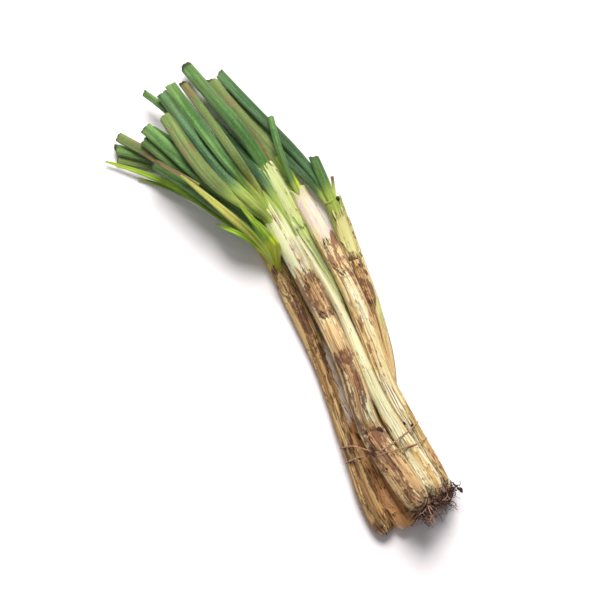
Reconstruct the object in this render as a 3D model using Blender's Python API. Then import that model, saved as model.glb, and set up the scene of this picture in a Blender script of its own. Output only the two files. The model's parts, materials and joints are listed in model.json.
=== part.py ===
"""A tied bunch of spring onions, lying on its side.

Run it with: blender --background --python part.py
The bunch lies along Y with its bulbs at -Y and its cut greens at +Y. It rests on z = 0.
Every stem, leaf and root tuft is a loft of elliptical rings, each ring in a plane of constant y.
The plan of each piece is drawn by hand; its height comes from laying the pieces down one by
one, each on what is already there, the way a bunch settles on a table.
"""

import math

import bpy
import numpy as np
from mathutils import Vector

MM = 0.001
STEM_STEP = 10.0  # mm between the rings of a stem
LEAF_STEP = 7.0  # mm between the rings of a leaf
FINE_STEP = 1.0  # mm between the stations at which the heights are worked out
CELL = 0.25  # mm, width of a cell of the height field
HALF_WIDTH = 75.0  # mm, half the width of the height field
HALF_LENGTH = 165.0  # mm, half the length of the height field
CLEARANCE = 0.45  # mm kept between a piece and what it lies on
SETTLE = 4.0  # mm over which a piece's bends are evened out

STEM_SIDES = 10
LEAF_SIDES = 8
ROOT_SIDES = 8
LEAF_FLATTENING = 0.8  # height of a leaf's ring over its width
LEAF_WALL_SHARE = 0.28  # wall of a cut leaf over its half width
WIDENING = 0.45  # share of its length over which a leaf reaches its full width
LEAF_DROOP = 0.0009  # per mm, how fast an unsupported leaf bends down
SNAP = 0.3  # mm, undersides this close to the table lie flat on it

TWINE_RADIUS = 0.5  # mm
TWINE_CLEARANCE = 0.75  # mm between the twine's surface and the stems
TWINE_SPACING = 3.2  # mm between the points of its route
TIE_FROM, TIE_TO = -114.0, -86.0  # mm, the stretch of y in which the twine passes
TIE_LIFT = 2.0  # mm by which the stems clear the table there
TIE_FADE = 3.0  # mm over which that lift fades out
KNOT_PLACE = (-11.0, -100.6)  # mm
KNOT_SIZE = (3.4, 2.4, 1.5)  # mm, half axes

# Bulb to neck: (y, x, radius), mm, in the order in which the stems are laid down. Those of
# onions 1, 6, 3, 5 and 4 lie side by side at the bulbs, 7 and 2 on top of them.
STEMS = {
    1: [(-148, -24, 2.6), (-144, -24, 5.2), (-135, -23.7, 5.9), (-122, -22.5, 6), (-99, -18.6, 5.1),
        (-72, -13, 5), (-50, -8, 5.2), (-30, -4.5, 5.5), (-11, -2.5, 5.7), (5, -1, 5.8), (24, 0, 5.4), (38, 0, 4.6)],
    6: [(-151, -10.3, 3.4), (-147, -10.3, 6), (-140, -10.3, 6.8), (-128, -10.6, 5.8), (-101, -8, 4.3),
        (-72, -3.2, 4.2), (-50, 2, 4.2), (-30, 6.1, 4.2), (-11, 8.4, 4.2), (5, 10, 4.2), (40, 9.4, 4.1)],
    3: [(-148, 1.8, 2.8), (-144, 1.8, 4.4), (-136, 1.8, 4.9), (-101, 1.8, 4.6), (-72, 6.7, 4.4), (-50, 12, 4.4),
        (-30, 17.5, 4.5), (-11, 22.5, 4.7), (5, 25.4, 4.8), (29, 25, 5), (60, 24.5, 5.6), (76, 24, 5.4)],
    5: [(-147, 11.3, 2.2), (-143, 11.3, 3.6), (-136, 11.3, 4.1), (-105, 11.3, 4), (-95, 12.2, 4), (-85, 16, 4.2),
        (-63, 27, 4.7), (-42, 34, 5), (-24, 38, 5.2), (-6, 41.5, 5.4), (12, 44.5, 5.5), (30, 48, 5.5), (42, 50, 5.4)],
    4: [(-145, 19.8, 2.6), (-141, 20, 4), (-134, 20.3, 4.6), (-111, 20.5, 4.7), (-91, 21, 4.9),
        (-69, 22, 5.3), (-53, 25, 5.6), (-30, 29, 5.9), (-8, 32, 6), (20, 33.5, 5.8), (58, 34.5, 4.4)],
    7: [(-144, 14, 3), (-140, 14, 4.8), (-134, 14, 5.9), (-124, 13.5, 6), (-100, 12.5, 5),
        (-72, 13, 4.4), (-50, 15.5, 4.2), (-33, 18.5, 3.7), (0, 20.5, 2.8), (24, 20, 2.2), (48, 19.6, 1.8)],
    2: [(-145, 3, 4), (-141, 2, 6.8), (-134, 1, 8.3), (-126, 0.5, 8.6), (-101, -1, 7.5), (-80, 0, 6.9),
        (-55, 6, 6.3), (-30, 9, 6.2), (0, 11.5, 6.4), (25, 12.6, 6.6), (45, 13, 6.6), (64, 13, 5.6)],
}
# Where leaves below a neck hold it up: (y, height of its middle), mm.
STEM_LIFTS = {
    1: [(0, 0), (38, 7)],
    2: [(10, 0), (64, 19)],
    3: [(-10, 0), (76, 15)],
    4: [(0, 0), (58, 17)],
    5: [(0, 0), (42, 9)],
    6: [(0, 0), (40, 6)],
    7: [(-60, 0), (-20, 12), (48, 17)],
}
STEM_COLOURS = {
    1: (0.45, 0.27, 0.12), 2: (0.70, 0.62, 0.38), 3: (0.66, 0.68, 0.42), 4: (0.70, 0.50, 0.24),
    5: (0.56, 0.38, 0.18), 6: (0.60, 0.33, 0.12), 7: (0.78, 0.78, 0.62),
}

LEAF_COLOURS = {
    "green": (0.12, 0.30, 0.10),
    "blue_green": (0.07, 0.22, 0.12),
    "olive": (0.30, 0.32, 0.12),
    "yellow_green": (0.42, 0.55, 0.05),
    "pale_yellow": (0.60, 0.58, 0.18),
    "dry": (0.36, 0.24, 0.12),
}

# In the order in which they are laid down: onion, route from base to tip as (x, y) in mm,
# width in mm, width of the base over that width, tip, colour.
LEAVES = [
    (6, [(4, 44), (-14, 92), (-35, 117), (-50, 129)], 6.0, 0.5, "cut", "olive"),
    (6, [(7, 45), (-9, 90), (-30, 118), (-47, 134)], 7.0, 0.4, "cut", "green"),
    (6, [(9, 50), (0, 80), (-26, 113), (-42, 140)], 6.5, 0.4, "cut", "olive"),
    (1, [(0, 50), (-8, 105), (-22, 134)], 5.0, 0.5, "cut", "green"),
    (2, [(11, 66), (1, 110), (-12, 147)], 4.5, 0.5, "cut", "yellow_green"),
    (2, [(15, 66), (3, 110), (-15, 154)], 4.5, 0.5, "cut", "green"),
    (5, [(45, 52), (41, 78), (34, 108), (28, 132)], 6.5, 0.5, "cut", "olive"),
    (5, [(41, 62), (35, 90), (30, 108), (25, 122)], 3.6, 0.6, "cut", "blue_green"),
    (5, [(48, 52), (46, 74), (39, 101), (30, 142)], 6.5, 0.8, "cut", "blue_green"),
    (4, [(35, 62), (31, 96), (23.5, 121), (23, 140)], 7.5, 0.5, "cut", "olive"),
    (3, [(30, 72), (29, 97), (24, 112)], 3.2, 0.8, "cut", "dry"),
    (1, [(-5, 42), (-17, 75), (-30, 98), (-45, 113)], 4.0, 0.5, "pointed", "yellow_green"),
    (6, [(2, 56), (-12, 86), (-22, 110), (-29, 130)], 6.5, 0.4, "cut", "green"),
    (6, [(5, 60), (-9, 84), (-17, 112), (-25, 135)], 6.5, 0.4, "cut", "green"),
    (1, [(-3, 42), (-17, 77), (-32, 104), (-56, 131)], 5.5, 0.5, "pointed", "yellow_green"),
    (1, [(-1, 46), (-14, 78), (-24, 100), (-31, 113)], 6.0, 0.5, "cut", "green"),
    (6, [(-14, 88), (-24, 104), (-36, 125)], 2.8, 0.6, "pointed", "dry"),
    (2, [(3, 56), (-6, 82), (-10, 110), (-11, 135)], 8.0, 0.6, "cut", "olive"),
    (7, [(20, 50), (20, 80), (16, 102), (12, 118)], 5.5, 0.6, "cut", "blue_green"),
    (2, [(6, 54), (2, 80), (-2, 110), (-6, 148)], 6.5, 0.7, "cut", "blue_green"),
    (2, [(10, 66), (7, 92), (3, 124), (1, 151)], 7.5, 0.85, "cut", "green"),
    (2, [(16, 66), (12, 98), (11, 120), (8, 147)], 4.8, 0.9, "cut", "olive"),
    (3, [(24, 77.5), (25.5, 90), (21, 118), (15, 154)], 8.5, 1.0, "cut", "green"),
    (1, [(-2, 44), (-9, 66), (-16, 86), (-21, 99)], 5.0, 0.8, "pointed", "pale_yellow"),
    (1, [(-3, 41), (-8, 50), (-18, 64)], 4.0, 0.8, "pointed", "yellow_green"),
    (1, [(5, 26), (4, 46), (0, 66)], 5.0, 0.8, "pointed", "yellow_green"),
    (1, [(8.5, 22), (7.5, 40), (2.5, 56)], 4.6, 0.7, "pointed", "yellow_green"),
    (4, [(38, 60), (36.5, 72), (33, 86), (28, 100)], 4.5, 0.8, "cut", "yellow_green"),
    (4, [(31, 66), (34, 76), (39, 90), (43, 102.5)], 4.2, 0.9, "cut", "green"),
    (5, [(50, 43.5), (51, 56), (53, 69.5)], 6.5, 1.0, "cut", "green"),
    (5, [(55.5, 42), (56, 48), (57, 54)], 3.6, 1.0, "pointed", "dry"),
]

# One tuft below each bulb: length and radius, mm, and how far it leans sideways.
ROOTS = {
    1: (3.5, 2.2, 0), 6: (2.5, 2.6, 0), 3: (6, 3.4, 3), 5: (6, 3, 3), 4: (7, 4, 1), 2: (8, 5.6, 4), 7: (8, 4.4, 0),
}
ROOT_COLOUR = (0.16, 0.08, 0.05)
TWINE_COLOUR = (0.45, 0.30, 0.20)
STRAY_ROOT = [(-140, 24.6, 0.5), (-145, 26, 0.6), (-147, 26.8, 1.5), (-149.5, 27.6, 0.6)]
STRAY_ROOT_HEIGHT = 17.0  # mm


def smooth_curve(knots, values, at):
    """Cubic Hermite curve through (knots, values), read at the places `at`; knots ascend."""
    knots = np.asarray(knots, float)
    values = np.asarray(values, float)
    slopes = np.gradient(values, knots)
    i = np.clip(np.searchsorted(knots, at, side="right") - 1, 0, len(knots) - 2)
    h = knots[i + 1] - knots[i]
    t = (at - knots[i]) / h
    return (
        (2 * t**3 - 3 * t**2 + 1) * values[i]
        + (t**3 - 2 * t**2 + t) * h * slopes[i]
        + (3 * t**2 - 2 * t**3) * values[i + 1]
        + (t**3 - t**2) * h * slopes[i + 1]
    )


def ring_places(first, last, step):
    """The places along y of a loft's rings: multiples of the step, and the two ends."""
    inner = np.arange(math.ceil(first / step + 0.3), math.floor(last / step - 0.3) + 1) * step
    return np.concatenate([[first], inner, [last]])


class HeightField:
    """How high the pieces laid so far reach, over a grid of y (rows) and x (columns)."""

    def __init__(self):
        self.x = np.arange(-HALF_WIDTH, HALF_WIDTH + CELL, CELL)
        self.y = np.arange(-HALF_LENGTH, HALF_LENGTH + FINE_STEP, FINE_STEP)
        self.top = np.zeros((len(self.y), len(self.x)))

    def row(self, y):
        return int(round((y + HALF_LENGTH) / FINE_STEP))

    def needed(self, y, x, half_x, half_z):
        """The lowest centre height at y that clears the table and the pieces below."""
        t = (self.x - x) / (half_x + CLEARANCE / 2)
        under = np.abs(t) < 1
        lower = half_z * np.sqrt(1 - t[under] ** 2)
        top = self.top[self.row(y)][under]
        on_pieces = np.where(top > 0, top + lower + CLEARANCE, 0).max()
        return max(on_pieces, half_z * math.cos(math.pi / STEM_SIDES) + tie_lift(y))

    def lay(self, y, x, half_x, half_z, z):
        t = (self.x - x) / half_x
        under = np.abs(t) < 1
        row = self.top[self.row(y)]
        row[under] = np.maximum(row[under], z + half_z * np.sqrt(1 - t[under] ** 2))


def tie_lift(y):
    """How far the stems stand clear of the table where the twine passes under them."""
    outside = max(TIE_FROM - y, y - TIE_TO, 0)
    return TIE_LIFT * max(0.0, 1 - outside / TIE_FADE)


def settle(heights, step):
    """Evens out the heights so that straight runs between two rings still clear every bump."""
    even = int(SETTLE / FINE_STEP)
    bridge = int(step / FINE_STEP) + even
    padded = np.pad(heights, even + bridge, mode="edge")
    high = [padded[i : i + 2 * bridge + 1].max() for i in range(len(heights) + 2 * even)]
    return np.array([np.mean(high[i : i + 2 * even + 1]) for i in range(len(heights))])


class Loft:
    """A tube of elliptical rings, each at a constant y: places, centres and half axes, mm."""

    def __init__(self, y, x, half_x, half_z):
        self.y = np.asarray(y, float)
        self.x = np.asarray(x, float)
        self.half_x = np.asarray(half_x, float)
        self.half_z = np.asarray(half_z, float)
        self.z = np.zeros(len(self.y))

    def lie_on(self, field, wanted):
        """Lays the loft on the field, no lower than `wanted` (a height at each ring)."""
        rows = np.arange(math.ceil(self.y[0]), math.floor(self.y[-1]) + 1, FINE_STEP)
        rows = np.concatenate([[self.y[0]], rows, [self.y[-1]]])
        x, half_x, half_z = (np.interp(rows, self.y, v) for v in (self.x, self.half_x, self.half_z))
        needed = np.array([field.needed(*v) for v in zip(rows, x, half_x, half_z)])
        heights = np.maximum(settle(needed, np.diff(self.y).max()), np.interp(rows, self.y, wanted))
        self.z = np.interp(self.y, rows, heights)
        z = np.interp(rows, self.y, self.z)
        for v in zip(rows, x, half_x, half_z, z):
            field.lay(*v)

    def ring(self, i, sides, scale=1.0):
        """The corners of ring i; an edge of the polygon faces down."""
        turn = np.pi * (2 * np.arange(sides) + 1) / sides
        x = self.x[i] + scale * self.half_x[i] * np.sin(turn)
        z = self.z[i] - scale * self.half_z[i] * np.cos(turn)
        z = np.where(z < SNAP, 0.0, z)
        return [(a, self.y[i], b) for a, b in zip(x, z)]


def add_mesh(name, verts_mm, faces, colour, roughness):
    mesh = bpy.data.meshes.new(name)
    mesh.from_pydata([tuple(MM * c for c in v) for v in verts_mm], [], faces)
    mesh.update()
    mesh.shade_smooth()
    obj = bpy.data.objects.new(name, mesh)
    bpy.context.scene.collection.objects.link(obj)
    obj.data.materials.append(material(name, colour, roughness))
    return obj


def material(name, colour, roughness):
    mat = bpy.data.materials.new(name)
    mat.use_nodes = True
    shader = mat.node_tree.nodes["Principled BSDF"]
    shader.inputs["Base Color"].default_value = (*colour, 1.0)
    shader.inputs["Roughness"].default_value = roughness
    shader.inputs["Metallic"].default_value = 0.0
    return mat


def skin_faces(rings, sides):
    """Quads between successive rings of a tube that runs towards +y, and its end caps."""
    faces = [tuple(range(sides))]
    for r in range(rings - 1):
        for s in range(sides):
            a, b = r * sides + s, r * sides + (s + 1) % sides
            faces.append((b, a, a + sides, b + sides))
    last = (rings - 1) * sides
    faces.append(tuple(reversed(range(last, last + sides))))
    return faces


def make_solid(name, loft, sides, colour, roughness):
    verts = [v for i in range(len(loft.y)) for v in loft.ring(i, sides)]
    return add_mesh(name, verts, skin_faces(len(loft.y), sides), colour, roughness)


def make_cut_leaf(name, loft, colour):
    """A leaf whose cut tip opens into the hollow inside it, one ring step deep."""
    inner = 1 - LEAF_WALL_SHARE
    verts = [v for i in range(len(loft.y)) for v in loft.ring(i, LEAF_SIDES)]
    verts += loft.ring(len(loft.y) - 1, LEAF_SIDES, inner)
    verts += loft.ring(len(loft.y) - 2, LEAF_SIDES, inner)
    faces = skin_faces(len(loft.y) + 2, LEAF_SIDES)
    return add_mesh(name, verts, faces, colour, 0.5)


def build_stems(field):
    lofts = {}
    for onion, stations in STEMS.items():
        y, x, radius = (np.array(v, float) for v in zip(*stations))
        bulb_end = y[y < y[0] + 8]
        places = np.concatenate([bulb_end, ring_places(bulb_end[-1], y[-1], STEM_STEP)[1:]])
        round_radius = smooth_curve(y, radius, places)
        loft = Loft(places, smooth_curve(y, x, places), round_radius, round_radius)
        loft.lie_on(field, np.interp(places, *zip(*STEM_LIFTS[onion])))
        make_solid(f"onion_{onion}_stem", loft, STEM_SIDES, STEM_COLOURS[onion], 0.5)
        lofts[onion] = loft
    return lofts


def build_leaves(field, stems):
    counts = {}
    for onion, route, width, base, tip, colour in LEAVES:
        counts[onion] = counts.get(onion, 0) + 1
        x, y = (np.array(v, float) for v in zip(*route))
        places = ring_places(y[0], y[-1], LEAF_STEP)
        centre = smooth_curve(y, x, places)
        along = (places - y[0]) / (y[-1] - y[0])
        narrowing = taper(along, base, tip)
        slant = np.sqrt(1 + np.gradient(centre, places) ** 2)
        loft = Loft(places, centre, slant * narrowing * width / 2, LEAF_FLATTENING * narrowing * width / 2)
        start = np.interp(y[0], stems[onion].y, stems[onion].z)
        loft.lie_on(field, start - LEAF_DROOP * (places - y[0]) ** 2)
        name = f"onion_{onion}_leaf_{counts[onion]}"
        if tip == "cut":
            make_cut_leaf(name, loft, LEAF_COLOURS[colour])
        else:
            make_solid(name, loft, LEAF_SIDES, LEAF_COLOURS[colour], 0.5)


def taper(along, base, tip):
    """Width of a leaf over its full width, from its base (0) to its tip (1)."""
    widening = base + (1 - base) * np.sin(np.pi / 2 * np.clip(along / WIDENING, 0, 1))
    if tip == "cut":
        return widening * (1 - 0.12 * along)
    return widening * np.clip(1.15 * np.sqrt(1.04 - along), 0.2, 1.0)


def build_roots(stems):
    for onion, (length, radius, lean) in ROOTS.items():
        stem = stems[onion]
        end = stem.y[0] - CLEARANCE
        along = np.array([1.0, 0.75, 0.4, 0.0])
        widths = radius * np.array([0.35, 0.85, 1.0, 0.7])
        loft = Loft(end - length * along, stem.x[0] + lean * along, widths, 0.8 * widths)
        loft.z = np.full(4, max(stem.z[0], 0.8 * radius + 1.0))
        make_solid(f"onion_{onion}_roots", loft, ROOT_SIDES, ROOT_COLOUR, 0.9)
    y, x, radius = (np.array(v, float) for v in zip(*reversed(STRAY_ROOT)))
    stray = Loft(y, x, radius, radius)
    stray.z = np.full(len(y), STRAY_ROOT_HEIGHT)
    make_solid("stray_root", stray, ROOT_SIDES, ROOT_COLOUR, 0.9)


def outline_at(stems, y):
    """Corners of the stems' cross-section at y, grown by the twine's radius and clearance."""
    grow = TWINE_RADIUS + TWINE_CLEARANCE
    turn = np.linspace(0, 2 * np.pi, 33)[:-1]
    points = []
    for loft in stems.values():
        x, z, a, b = (np.interp(y, loft.y, v) for v in (loft.x, loft.z, loft.half_x, loft.half_z))
        points += list(zip(x + (a + grow) * np.cos(turn), z + (b + grow) * np.sin(turn)))
    return np.array(points)


def reach(points, centre, direction):
    """How far the convex hull of `points` reaches from the centre along a direction."""
    best = np.inf
    for turn in np.radians(np.arange(0, 360, 2)):
        normal = np.array([math.cos(turn), math.sin(turn)])
        facing = normal @ direction
        if facing > 1e-3:
            best = min(best, ((points - centre) @ normal).max() / facing)
    return best


def twine_route(stems):
    """Two turns round the stems, both starting and ending at the knot, as points in mm."""
    middle = np.array([0.5, 13.0])
    # Angle round the bunch in degrees (0 at +x, 90 at the top), and the y it passes at.
    turns = [(114, -99.2), (180, -90), (270, -94), (360, -99), (474, -101), (540, -98.5), (630, -104),
             (720, -110), (830, -102.6)]
    angles, places = (np.array(v, float) for v in zip(*turns))
    count = int(2 * 165 / TWINE_SPACING)
    route = []
    for angle in np.linspace(angles[0], angles[-1], count):
        y = float(smooth_curve(angles, places, np.array([angle]))[0])
        direction = np.array([math.cos(math.radians(angle)), math.sin(math.radians(angle))])
        x, z = middle + direction * reach(outline_at(stems, y), middle, direction)
        route.append((x, y, z))
    return route


def build_twine(stems):
    route = twine_route(stems)
    curve = bpy.data.curves.new("twine", "CURVE")
    curve.dimensions = "3D"
    curve.bevel_depth = TWINE_RADIUS * MM
    curve.bevel_resolution = 1
    curve.use_fill_caps = True
    spline = curve.splines.new("POLY")
    spline.points.add(len(route) - 1)
    for point, place in zip(spline.points, route):
        point.co = (*(MM * c for c in place), 1.0)
    obj = bpy.data.objects.new("twine", curve)
    bpy.context.scene.collection.objects.link(obj)
    curve.materials.append(material("twine", TWINE_COLOUR, 0.9))

    top = max(z for x, y, z in route if abs(x - KNOT_PLACE[0]) < 4)
    half_x, half_y, half_z = KNOT_SIZE
    y = KNOT_PLACE[1] + half_y * np.array([-1, -0.6, 0, 0.6, 1])
    size = np.array([0.3, 0.8, 1, 0.8, 0.3])
    knot = Loft(y, np.full(5, KNOT_PLACE[0]), half_x * size, half_z * size)
    knot.z = np.full(5, top + TWINE_RADIUS + half_z + 0.3)
    make_solid("twine_knot", knot, ROOT_SIDES, TWINE_COLOUR, 0.9)


def centre_on_origin():
    """Moves the bunch so that its middle, seen from above, is over the origin."""
    bpy.context.view_layer.update()
    corners = [obj.matrix_world @ Vector(c) for obj in bpy.data.objects for c in obj.bound_box]
    middle = (np.min(corners, axis=0) + np.max(corners, axis=0)) / 2
    for obj in bpy.data.objects:
        obj.location.x -= middle[0]
        obj.location.y -= middle[1]


def main():
    for obj in list(bpy.data.objects):
        bpy.data.objects.remove(obj)
    field = HeightField()
    stems = build_stems(field)
    build_leaves(field, stems)
    build_roots(stems)
    build_twine(stems)
    centre_on_origin()


main()
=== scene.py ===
"""The finished look of a tied bunch of spring onions, built around its CAD frame.

Every stem, leaf, root tuft and the twine is modelled afresh along the rings of its CAD node:
sheaths with torn papery skin, hollow leaves with cut mouths, curly roots and a twisted twine.
"""

import itertools
import json
import math

import bpy
import numpy as np
from bpy.props import FloatProperty, FloatVectorProperty, IntProperty, PointerProperty
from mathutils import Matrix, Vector


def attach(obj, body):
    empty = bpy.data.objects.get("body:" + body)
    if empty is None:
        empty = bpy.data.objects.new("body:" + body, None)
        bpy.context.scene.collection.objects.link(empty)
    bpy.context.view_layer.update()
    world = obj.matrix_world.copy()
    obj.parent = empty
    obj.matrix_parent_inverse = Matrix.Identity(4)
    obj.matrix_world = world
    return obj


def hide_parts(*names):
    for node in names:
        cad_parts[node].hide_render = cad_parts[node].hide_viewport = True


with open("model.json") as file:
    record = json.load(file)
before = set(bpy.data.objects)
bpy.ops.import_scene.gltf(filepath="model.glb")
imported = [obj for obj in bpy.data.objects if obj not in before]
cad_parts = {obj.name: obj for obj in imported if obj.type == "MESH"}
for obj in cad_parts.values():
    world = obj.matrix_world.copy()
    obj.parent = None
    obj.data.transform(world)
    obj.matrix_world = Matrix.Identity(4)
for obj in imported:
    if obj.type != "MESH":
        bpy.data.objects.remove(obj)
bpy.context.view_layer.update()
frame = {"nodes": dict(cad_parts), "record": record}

bl_info = {
    "name": "Spring Onion Bunch",
    "version": (1, 0, 0),
    "blender": (4, 5, 0),
    "location": "View3D > Sidebar > Onions",
    "description": "Builds a tied bunch of spring onions around its frame",
    "category": "Object",
}

MM = 0.001
UP = np.array([0.0, 0.0, 1.0])
ONIONS = range(1, 8)
SLOTS = {part["node"]: part["material_slot"] for part in frame["record"]["subparts"]}

# Large primes that scatter the cells of `bumps`, one for each axis, the seed and a last mixing.
SCATTER = (73856093, 19349663, 83492791)
SCATTER_SEED = 7919
SCATTER_MIX = 1274126177

# How much fuller than the frame a bulb or a collar is.
BULB_FULL = {1: 0.14, 6: 0.30}
COLLAR_FULL = {3: 0.32, 4: 0.18, 5: 0.10}

# How far apart, in metres, the grain of one onion is from the next one's.
GRAIN_APART = 0.37
TINY = 1e-12


# ---------------------------------------------------------------- shapes


def bumps(points, size, seed=0):
    """Smooth random heights from 0 to 1 at each point, the same on every run."""
    place = np.asarray(points) / size + 512.0
    cell = np.floor(place).astype(np.int64)
    part = place - cell
    part = part * part * (3 - 2 * part)
    total = 0.0
    for corner in itertools.product((0, 1), repeat=3):
        at = cell + np.array(corner)
        x, y, z = (at[..., axis] * prime for axis, prime in enumerate(SCATTER))
        mixed = x ^ y ^ z ^ (seed + 1) * SCATTER_SEED
        mixed = (mixed ^ (mixed >> 13)) * SCATTER_MIX
        value = ((mixed ^ (mixed >> 16)) & 0xFFFF) / 65535.0
        total = total + value * np.prod(np.where(corner, part, 1 - part), axis=-1)
    return total


def rough_bumps(points, size, seed=0):
    """Three octaves of bumps, from 0 to 1."""
    return sum(bumps(points, size / 2**k, seed + k) / 2**k for k in range(3)) / 1.75


def step_up(low, high, value):
    """0 below `low`, 1 above `high`, smooth between them."""
    t = np.clip((value - low) / (high - low), 0, 1)
    return t * t * (3 - 2 * t)


def unit(vectors, guard=0.0):
    """Vectors at length 1; a small `guard` keeps a vector of no length from failing."""
    return vectors / (np.linalg.norm(vectors, axis=-1, keepdims=True) + guard)


def turns_round(count):
    """Evenly spaced angles once round, in radians."""
    return np.linspace(0, 2 * np.pi, count + 1)[:-1]


def degrees_from(turn, angle):
    """How far each turn (radians) is from an angle (degrees), from -180 to 180."""
    return (np.degrees(turn) - angle + 180) % 360 - 180


def lengths_along(line):
    """Length along a line of points, up to each of them."""
    return np.concatenate([[0], np.cumsum(np.linalg.norm(np.diff(line, axis=0), axis=1))])


def hermite(knots, values, at):
    """A cubic through (knots, values), read at any array of places."""
    slopes = np.gradient(values, knots, axis=0)
    i = np.clip(np.searchsorted(knots, at, side="right") - 1, 0, len(knots) - 2)
    h = (knots[i + 1] - knots[i])[..., None]
    t = np.clip((at - knots[i])[..., None] / h, 0, 1)
    return (
        (2 * t**3 - 3 * t**2 + 1) * values[i]
        + (t**3 - 2 * t**2 + t) * h * slopes[i]
        + (3 * t**2 - 2 * t**3) * values[i + 1]
        + (t**3 - t**2) * h * slopes[i + 1]
    )


def cad_rings(node):
    """The CAD node's rings in order of y: centres (n, 3) and half widths and heights (n, 2)."""
    points = np.array([v.co for v in frame["nodes"][node].data.vertices])
    keys = np.round(points[:, 1], 5)
    centres, sizes = [], []
    for key in np.unique(keys):
        ring = points[keys == key]
        low, high = ring.min(axis=0), ring.max(axis=0)
        centres.append((low + high) / 2)
        sizes.append((high - low)[[0, 2]] / 2)
    return np.array(centres), np.array(sizes)


def eased(values, reach):
    """Moving average over `reach` rows either side that keeps both ends where they are."""
    if reach < 1:
        return values
    before = 2 * values[0] - values[reach:0:-1]
    after = 2 * values[-1] - values[-2 : -reach - 2 : -1]
    padded = np.concatenate([before, values, after])
    return np.array([padded[i : i + 2 * reach + 1].mean(axis=0) for i in range(len(values))])


class Path:
    """A smooth centre line with a half width and half height, read by length along it."""

    def __init__(self, centres, sizes, ease=0.0):
        at = lengths_along(centres)
        fine = np.linspace(0, at[-1], max(8, int(at[-1] / MM) + 1))
        reach = min(int(ease / MM), (len(fine) - 2) // 2)
        self.centres = eased(hermite(at, centres, fine), reach)
        self.sizes = eased(hermite(at, sizes, fine), min(3, reach))
        self.at = lengths_along(self.centres)
        self.length = self.at[-1]
        self.headings = np.gradient(self.centres, self.at, axis=0)

    def read(self, s):
        """Centre, size, heading, sideways and upward directions at lengths s of any shape."""
        inside = np.clip(s, 0, self.length)
        centre = hermite(self.at, self.centres, inside)
        size = hermite(self.at, self.sizes, inside)
        heading = unit(hermite(self.at, self.headings, inside))
        side = unit(np.cross(heading, UP))
        up = np.cross(side, heading)
        centre = centre + heading * (s - inside)[..., None]
        return centre, size, side, up

    def skin(self, s, turn, grow=0.0, scale=1.0):
        """Points on the tube at lengths s and angles `turn` (0 at +x, 90 degrees on top)."""
        centre, size, side, up = self.read(s)
        wide = (size[..., 0] * scale + grow)[..., None] * np.cos(turn)[..., None]
        high = (size[..., 1] * scale + grow)[..., None] * np.sin(turn)[..., None]
        return centre + side * wide + up * high

    def length_at(self, y):
        """How far along the path it passes y."""
        return float(np.interp(y, self.centres[:, 1], self.at))


def stem_path(onion):
    """A stem's line, with its bulb and collar filled out and a full bulb's end made blunter."""
    centres, sizes = cad_rings(f"onion_{onion}_stem")
    y = centres[:, 1]
    bulb = step_up(-108 * MM, -128 * MM, y)
    collar = step_up(14 * MM, 44 * MM, y)
    sizes = sizes * (1 + BULB_FULL.get(onion, 0) * bulb + COLLAR_FULL.get(onion, 0) * collar)[:, None]
    blunt = 0.4 * step_up(-122 * MM, -134 * MM, y)[:, None] * (onion in BULB_FULL)
    full = sizes.max(axis=0)
    return Path(centres, full * (sizes / full) ** (1 - blunt), ease=6 * MM)


def stem_paths():
    """Every onion's stem path."""
    return {onion: stem_path(onion) for onion in ONIONS}


def grid_faces(rows, columns, wrap=True):
    """Quads over a grid of vertices, facing outward on a tube that runs along +y."""
    across = columns if wrap else columns - 1
    r, c = np.meshgrid(np.arange(rows - 1), np.arange(across), indexing="ij")
    n = (c + 1) % columns
    quads = np.stack([r * columns + c, (r + 1) * columns + c, (r + 1) * columns + n, r * columns + n], -1)
    return quads.reshape(-1, 4).tolist()


def add_piece(name, vertices, faces, material, slot, replaces=(), **facts):
    """A smooth mesh that rides on the bunch; `facts` become point attributes for its material."""
    mesh = bpy.data.meshes.new(name)
    mesh.from_pydata(np.asarray(vertices).reshape(-1, 3).tolist(), [], faces)
    for key, values in facts.items():
        values = np.asarray(values, np.float32)
        kind, field = ("FLOAT_VECTOR", "vector") if values.shape[-1:] == (3,) else ("FLOAT", "value")
        attribute = mesh.attributes.new(key, kind, "POINT")
        attribute.data.foreach_set(field, values.ravel())
    mesh.validate()
    mesh.shade_smooth()
    mesh.materials.append(material)
    piece = bpy.data.objects.new(name, mesh)
    bpy.context.scene.collection.objects.link(piece)
    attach(piece, "root")
    if replaces:
        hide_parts(*replaces)


def tube_piece(name, rows, material, slot, replaces=(), **facts):
    """A closed tube from rows of points (n, around, 3), its first and last rows capped."""
    count, around = rows.shape[:2]
    faces = grid_faces(count, around)
    faces.append(tuple(range(around)))
    faces.append(tuple(reversed(range((count - 1) * around, count * around))))
    add_piece(name, rows, faces, material, slot, replaces, **facts)


# ---------------------------------------------------------------- materials


def linear(colour):
    """Scene-linear values of a colour given as it looks on screen."""
    return tuple(c / 12.92 if c <= 0.04045 else ((c + 0.055) / 1.055) ** 2.4 for c in colour[:3])


class Value:
    """An output of a shader's node; arithmetic on it adds Math nodes."""

    def __init__(self, shader, socket):
        self.shader = shader
        self.socket = socket

    def __add__(self, other):
        return self.shader.maths("ADD", self, other)

    def __sub__(self, other):
        return self.shader.maths("SUBTRACT", self, other)

    def __rsub__(self, other):
        return self.shader.maths("SUBTRACT", other, self)

    def __mul__(self, other):
        return self.shader.maths("MULTIPLY", self, other)

    __radd__ = __add__
    __rmul__ = __mul__


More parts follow.
